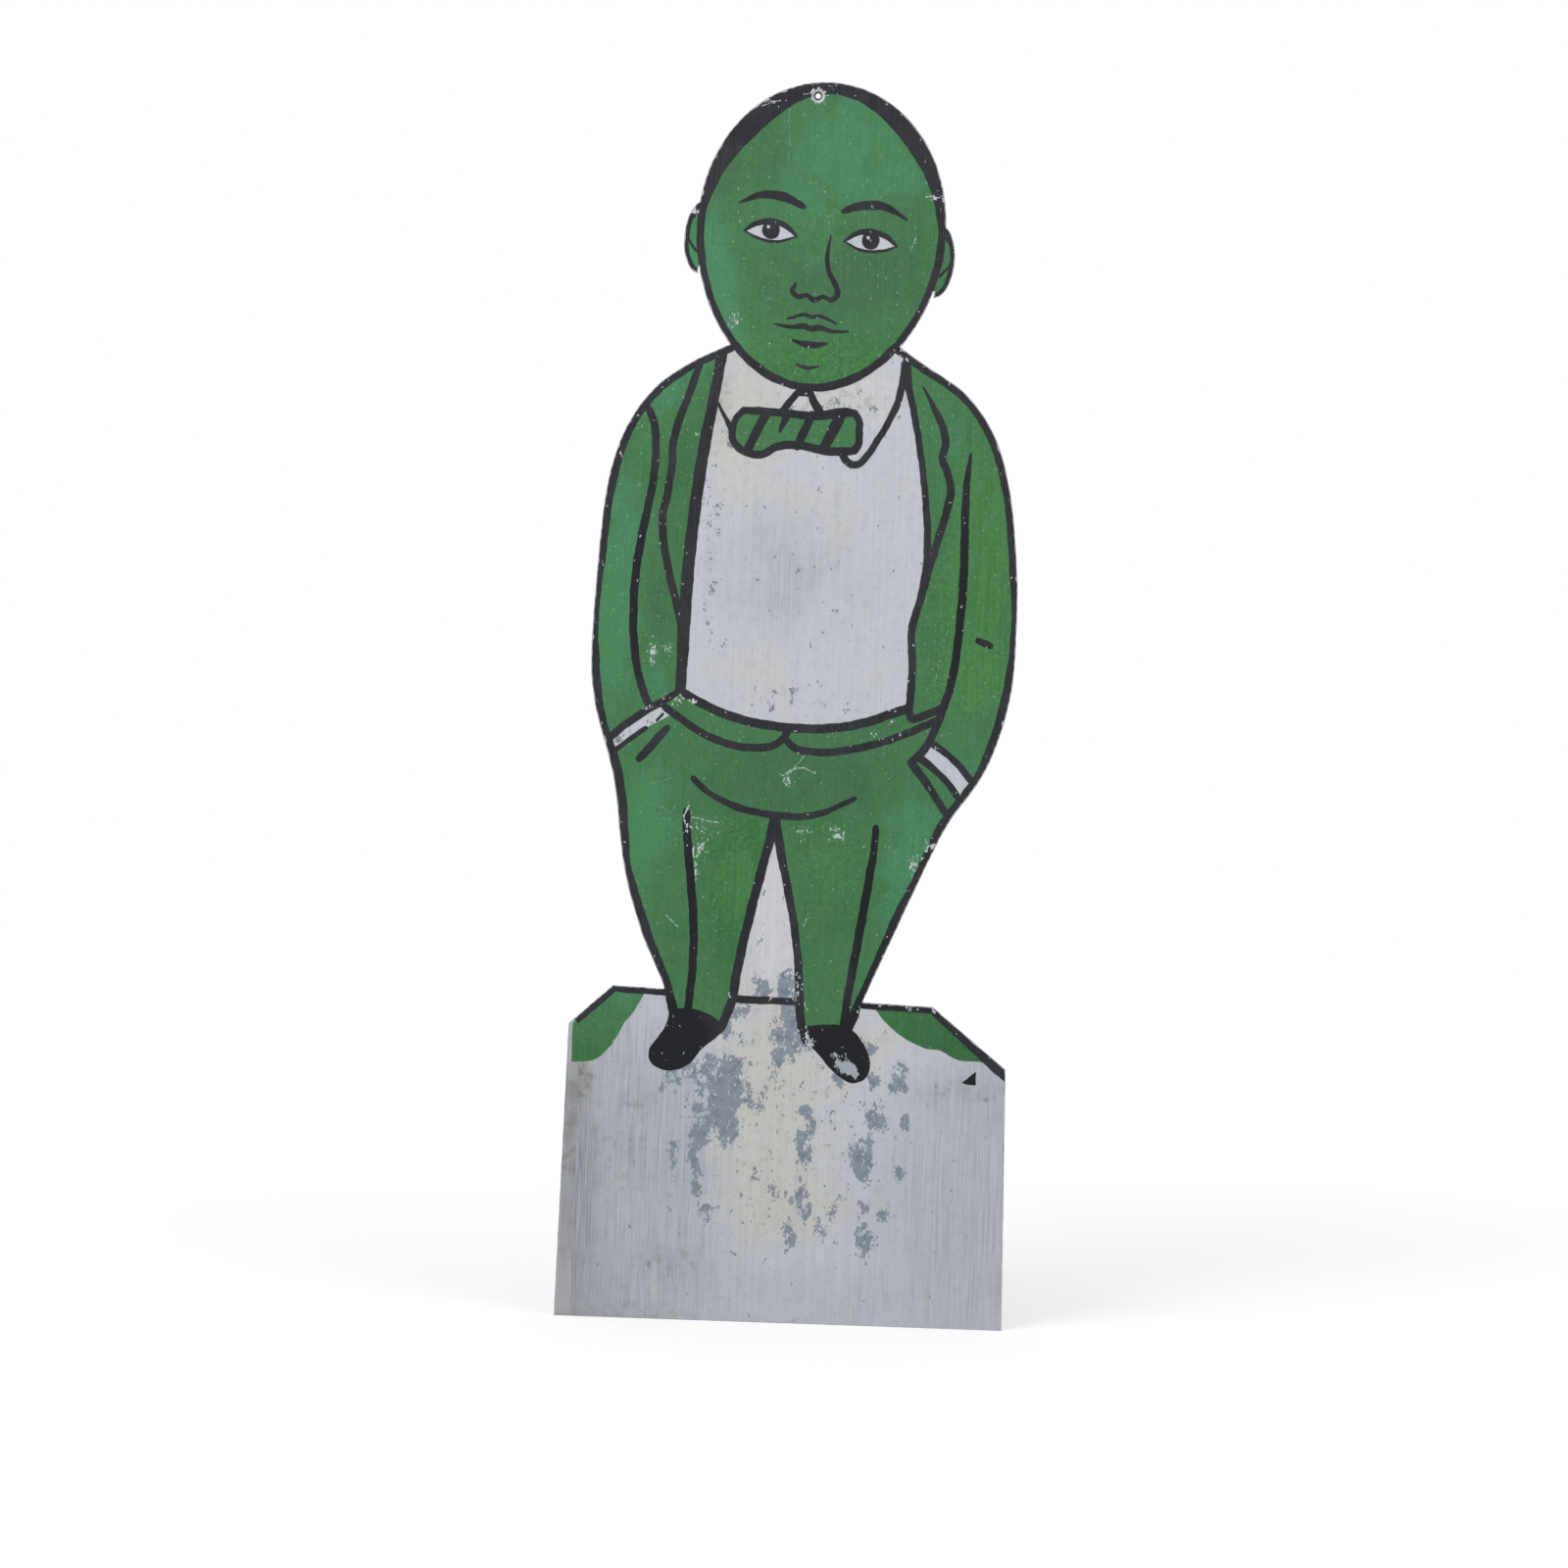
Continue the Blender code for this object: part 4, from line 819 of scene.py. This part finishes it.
speckled = reckon(tree, "MULTIPLY", speckle, amount(tree, "speckled"))
colour = tint(tree, reckon(tree, "MINIMUM", speckled, 0.8), colour, GREEN_SPECKLE)
colour = tint(tree, specks, colour, GREEN_SPECK, strength=0.6)
colour = tint(tree, sparks, colour, GREEN_SPARK, strength=0.95)
colour = tint(tree, bare, colour, GREEN_BARED, strength=0.9)
height = reckon(tree, "MULTIPLY_ADD", grain, 0.25, reckon(tree, "SUBTRACT", 1.0, bare))
surface(tree, shader, colour, between(tree, grain, 0.5, 0.4), height, depth=0.00004)
shader.inputs["Specular IOR Level"].default_value = 0.3
for node in GREEN_FIELDS:
    field, places = coat(node + "_paint", node, GREEN_FRONT, GREEN_MARGIN)
    mark_patches(field, places, bluish=BLUISH, deep=DEEP, olive=OLIVE, bright=BRIGHT)
    mark_patches(field, places, chipped=CHIPPED, speckled=SPECKLED)
    wear(field, green_enamel)


# The black brushwork: outlines, hair, creases, tie, shoes and the pedestal's top edge, put on last with
# a signwriter's brush. Time has pricked it with pale dots, and the right shoe is rubbed to the metal.
BLACK_FRONT = GREEN_FRONT - COAT_GAP - COAT
BLACK_MARGIN = 0.0008
BLACK_STEP = 0.0008
BLACK_STROKES = [
    "black_key_lines", "black_left_eye", "black_right_eye", "black_left_brow", "black_right_brow",
    "black_nose", "black_mouth", "black_upper_lip", "black_lower_lip", "black_chin",
    "black_left_pocket_mark", "black_right_sleeve_mark", "black_cuff_crease", "black_pedestal_mark",
]

# Where the black is rubbed or chipped off, where it lies thick, and where it is scratched.
RUBBED = [
    (33, 40, 193, 202, 0.74), (37, 46, 188, 198, 0.8), (42, 51, 184, 194, 0.84), (47, 54, 181, 190, 0.78),
    (10, 21, 198, 217, 0.5), (-2, 8, 231, 243, 0.5), (-34, -30, 236, 246, 0.5), (-50, -45, 236, 245, 0.62),
    (-15, -9, 237, 246, 0.66), (46, 53, 230, 239, 0.54), (-45, -32, 894, 898.5, 0.64),
    (34, 46, 828, 838, 0.46), (-8, 5, 895, 909, 0.8), (-6, 1, 907, 911, 0.6), (6, 10, 906, 911, 0.62),
    (12, 30, 904, 912, 0.2), (-96, -86, 810, 824, 0.7), (82, 96, 824, 836, 0.5),
    (-130, -120, 650, 662, 0.25), (60, 72, 705, 722, 0.36), (2, 12, 238, 264, 0.34),
    (60, 75, 885, 900, 0.4), (-72, -60, 695, 712, 0.3), (-82, -70, 858, 872, 0.36),
    (-112, -106, 443, 453, 0.72), (-101, -95, 449, 459, 0.74), (-89, -83, 452, 461, 0.72),
    (-81, -75, 446, 457, 0.72), (92, 106, 340, 362, 0.42), (-1, 9, 208, 223, 0.5),
    (-84, -76, 354, 374, 0.3), (-200, 200, -20, 920, 0.03), (50, 130, 228, 240, 0.2),
]
THICK = [
    (-112, -56, 168, 238, 1.6), (8, 68, 170, 226, 1.6), (106, 128, 420, 630, 1.0), (40, 70, 230, 390, 1.0),
    (-88, -62, 230, 390, 1.0), (-134, -108, 460, 630, 0.9), (-46, -14, 240, 370, 0.5),
    (-30, 44, 636, 694, 0.4), (40, 122, 222, 246, 0.5), (122, 146, 174, 194, 1.2),
]
BLACK_SCRATCHES = [
    (-46, 895, -29, 897.5, 0.6), (-43, 893.5, -33, 896, 0.4), (-12, 903, -7, 903, 0.6),
    (80, 829, 92, 830.5, 0.7), (34, 834, 54, 836, 0.4), (-94, 818, -88, 819, 0.6),
    (-77, 379, -81.5, 371, 1.1), (-81.5, 371, -80, 364.5, 1.1), (-80, 364.5, -74.4, 360.5, 1.0),
]

# How much further than its node a stroke's paint spreads, in mm: everywhere, in places, and in places
# behind the band along the cut edge. A loop's points up to BAND_EDGE from the silhouette lie on that
# band's outer border, those up to BAND_BACK behind it, and the rest inland.
OVERRUN = 0.45
HEAVIER = [
    (34, 70, 235, 385, 0.35), (48, 70, 322, 385, 0.65), (-90, -64, 240, 370, 0.25),
    (102, 132, 430, 630, 0.20), (-136, -106, 470, 620, 0.15), (70, 96, 570, 700, -0.45),
    (-16, 16, 225, 350, -0.5), (82, 97, 385, 430, 0.3), (-86, -58, 380, 412, 0.6), (6, 34, 640, 685, 0.7),
    (-14, 4, 640, 675, 0.3), (120, 150, 494, 514, 0.2), (97, 130, 392, 434, -0.45),
    (-67, -43, 634, 710, -0.6), (-86, -64, 650, 740, -0.4), (30, 66, 632, 700, -0.5),
    (-24, 10, 670, 706, -0.4), (-100, -78, 450, 484, -0.5), (-200, 200, 725, 990, -0.45),
]
BROADER_EDGE = [
    (-124, -88, 256, 326, 1.2), (-130, -112, 322, 344, -0.9), (-140, -112, 352, 424, 1.6),
    (-156, -136, 448, 490, 0.7), (-160, -138, 490, 552, -1.9), (-150, -130, 602, 645, 0.7),
    (138, 156, 575, 632, -0.4), (146, 164, 490, 545, -1.9), (128, 160, 412, 482, 1.1),
    (64, 86, 286, 318, 0.9), (40, 64, 236, 280, -0.6), (84, 94, 322, 342, -0.8), (98, 112, 356, 378, 0.8),
]
BAND_EDGE = 0.003
BAND_BACK = 0.0055


def heavier(loop):
    """How far black paint goes past its node's line: inland by the overrun and what the ovals add.

    The band's outer border stays, and the border behind the band takes the edge's own ovals instead.
    The change from the one to the other takes 1 mm, and the next one, to inland, takes 3 mm.
    """
    far = from_silhouette(loop)[0]
    inland = np.clip((far - BAND_BACK) / 0.003, 0, 1)
    behind_band = np.clip((far - BAND_EDGE) / 0.001, 0, 1) * (1 - inland)
    return 0.001 * (inland * (OVERRUN + patches(loop, HEAVIER)) + behind_band * patches(loop, BROADER_EDGE))


BLACK = (0.0098, 0.0106, 0.0134)
BLACK_DUSTY = (0.022, 0.0235, 0.029)
BLACK_DEEP = (0.0052, 0.0066, 0.0092)
BLACK_GRAIN = (0.12, 0.12, 0.14)
BLACK_PRICK = (0.26, 0.26, 0.29)
BLACK_DOT = (0.50, 0.50, 0.54)
BLACK_BARED = (0.54, 0.55, 0.58)
SHOE_BARED = (0.35, 0.38, 0.42)
WORN_EDGE = 0.0014
black_enamel, tree, shader, place = new_finish("black_enamel")
cloud = use(tree, clouds, place, Scale=45.0, Low=0.3, High=0.7)
grain = use(tree, hairlines, place, Fineness=900.0)
pricks = use(tree, pin_dots, place, Scale=520.0, Share=0.35, Size=0.17)
dots = use(tree, pin_dots, place, Scale=170.0, Share=0.08, Size=0.045)
bare = use(tree, flakes, place, Mark=amount(tree, "rubbed"), Scale=260.0)
bare = scratched(tree, place, bare, BLACK_SCRATCHES)
thick = amount(tree, "thick")
beneath = tint(tree, spread(tree, thick, 0.9, 1.2), BLACK_BARED, SHOE_BARED)
colour = tint(tree, cloud, BLACK, BLACK_DUSTY)
colour = tint(tree, between(tree, grain, 0.0, 0.10), colour, BLACK_GRAIN)
colour = tint(tree, reckon(tree, "MINIMUM", thick, 1.0), colour, BLACK_DEEP)
colour = tint(tree, pricks, colour, BLACK_PRICK, strength=0.5)
colour = tint(tree, dots, colour, BLACK_DOT, strength=0.9)
colour = tint(tree, bare, colour, beneath, strength=0.95)
height = reckon(tree, "SUBTRACT", 1.0, bare)
surface(tree, shader, colour, between(tree, cloud, 0.4, 0.55), height, depth=0.00004)
shader.inputs["Specular IOR Level"].default_value = 0.2
for node in BLACK_STROKES:
    stroke, places = coat(node + "_paint", node, BLACK_FRONT, BLACK_MARGIN, BLACK_STEP, heavier)
    worn = 0.12 * np.exp(-(from_silhouette(places)[0] / WORN_EDGE) ** 2)
    mark(stroke, "rubbed", patches(places, RUBBED) + worn)
    mark_patches(stroke, places, thick=THICK)
    wear(stroke, black_enamel)


# The studio: a pale floor that takes the sign's shadow, a white surround, and two large soft lamps.
# The camera sees the floor and the surround near white, while the light that they give is weaker.
floor_mesh = bpy.data.meshes.new("floor")
floor_mesh.from_pydata([(-6, -6, 0), (6, -6, 0), (6, 6, 0), (-6, 6, 0)], [], [(0, 1, 2, 3)])
floor = bpy.data.objects.new("floor", floor_mesh)
bpy.context.scene.collection.objects.link(floor)
floor_material = bpy.data.materials.new("pale_floor")
floor_material.use_nodes = True
tree = floor_material.node_tree
shader = tree.nodes["Principled BSDF"]
shader.inputs["Base Color"].default_value = (0.72, 0.72, 0.72, 1.0)
shader.inputs["Roughness"].default_value = 0.9
shader.inputs["Specular IOR Level"].default_value = 0.0
shader.inputs["Emission Color"].default_value = (1.0, 1.0, 1.0, 1.0)
seen = tree.nodes.new("ShaderNodeLightPath").outputs["Is Camera Ray"]
away = arrow(tree, "LENGTH", tree.nodes.new("ShaderNodeTexCoord").outputs["Object"])
whiter = spread(tree, away.outputs["Value"], 0.0, 2.5, 0.38, 0.58)
tree.links.new(reckon(tree, "MULTIPLY", seen, whiter), shader.inputs["Emission Strength"])
floor_mesh.materials.append(floor_material)

world = bpy.data.worlds.new("studio")
bpy.context.scene.world = world
world.use_nodes = True
tree = world.node_tree
light_path = tree.nodes.new("ShaderNodeLightPath")
shows = reckon(tree, "MAXIMUM", light_path.outputs["Is Camera Ray"], light_path.outputs["Is Glossy Ray"])
shows = reckon(tree, "MAXIMUM", shows, light_path.outputs["Is Transmission Ray"])
tree.links.new(between(tree, shows, 0.62, 1.0), tree.nodes["Background"].inputs["Strength"])
tree.nodes["Background"].inputs["Color"].default_value = (1.0, 1.0, 1.0, 1.0)


def lamp(name, place, size, power):
    """A square soft lamp that faces the middle of the sign."""
    data = bpy.data.lights.new(name, "AREA")
    data.size = size
    data.energy = power
    piece = bpy.data.objects.new(name, data)
    piece.location = place
    piece.rotation_euler = (Vector((0, 0, 0.46)) - Vector(place)).to_track_quat("-Z", "Y").to_euler()
    bpy.context.scene.collection.objects.link(piece)


lamp("key_lamp", place=(-1.7, -2.3, 2.1), size=1.6, power=44.0)
lamp("fill_lamp", place=(2.2, -2.0, 1.4), size=2.0, power=20.0)

# The camera looks straight at the front, turned so that the sign leans two degrees to the right in the
# picture, as it does in the photograph, where a pixel is 0.72 mm and the foot's middle lies at FOOT_AT.
FRAME = 1600
FOOT_AT = (793.3, 1350)
PIXEL = 0.00072
DISTANCE = 2.7
SENSOR = 36
LEAN = math.radians(2)
right_px, down_px = FRAME / 2 - FOOT_AT[0], FRAME / 2 - FOOT_AT[1]
camera_x = PIXEL * (right_px * math.cos(LEAN) + down_px * math.sin(LEAN))
camera_z = PIXEL * (right_px * math.sin(LEAN) - down_px * math.cos(LEAN))
camera_data = bpy.data.cameras.new("camera")
camera_data.sensor_width = SENSOR
camera_data.lens = SENSOR * DISTANCE / (FRAME * PIXEL)
camera = bpy.data.objects.new("camera", camera_data)
turn = Matrix(((math.cos(LEAN), -math.sin(LEAN), 0), (0, 0, -1), (math.sin(LEAN), math.cos(LEAN), 0)))
camera.matrix_world = Matrix.Translation((camera_x, -DISTANCE, camera_z)) @ turn.to_4x4()
bpy.context.scene.collection.objects.link(camera)
bpy.context.scene.camera = camera
bpy.context.scene.view_settings.view_transform = "Standard"
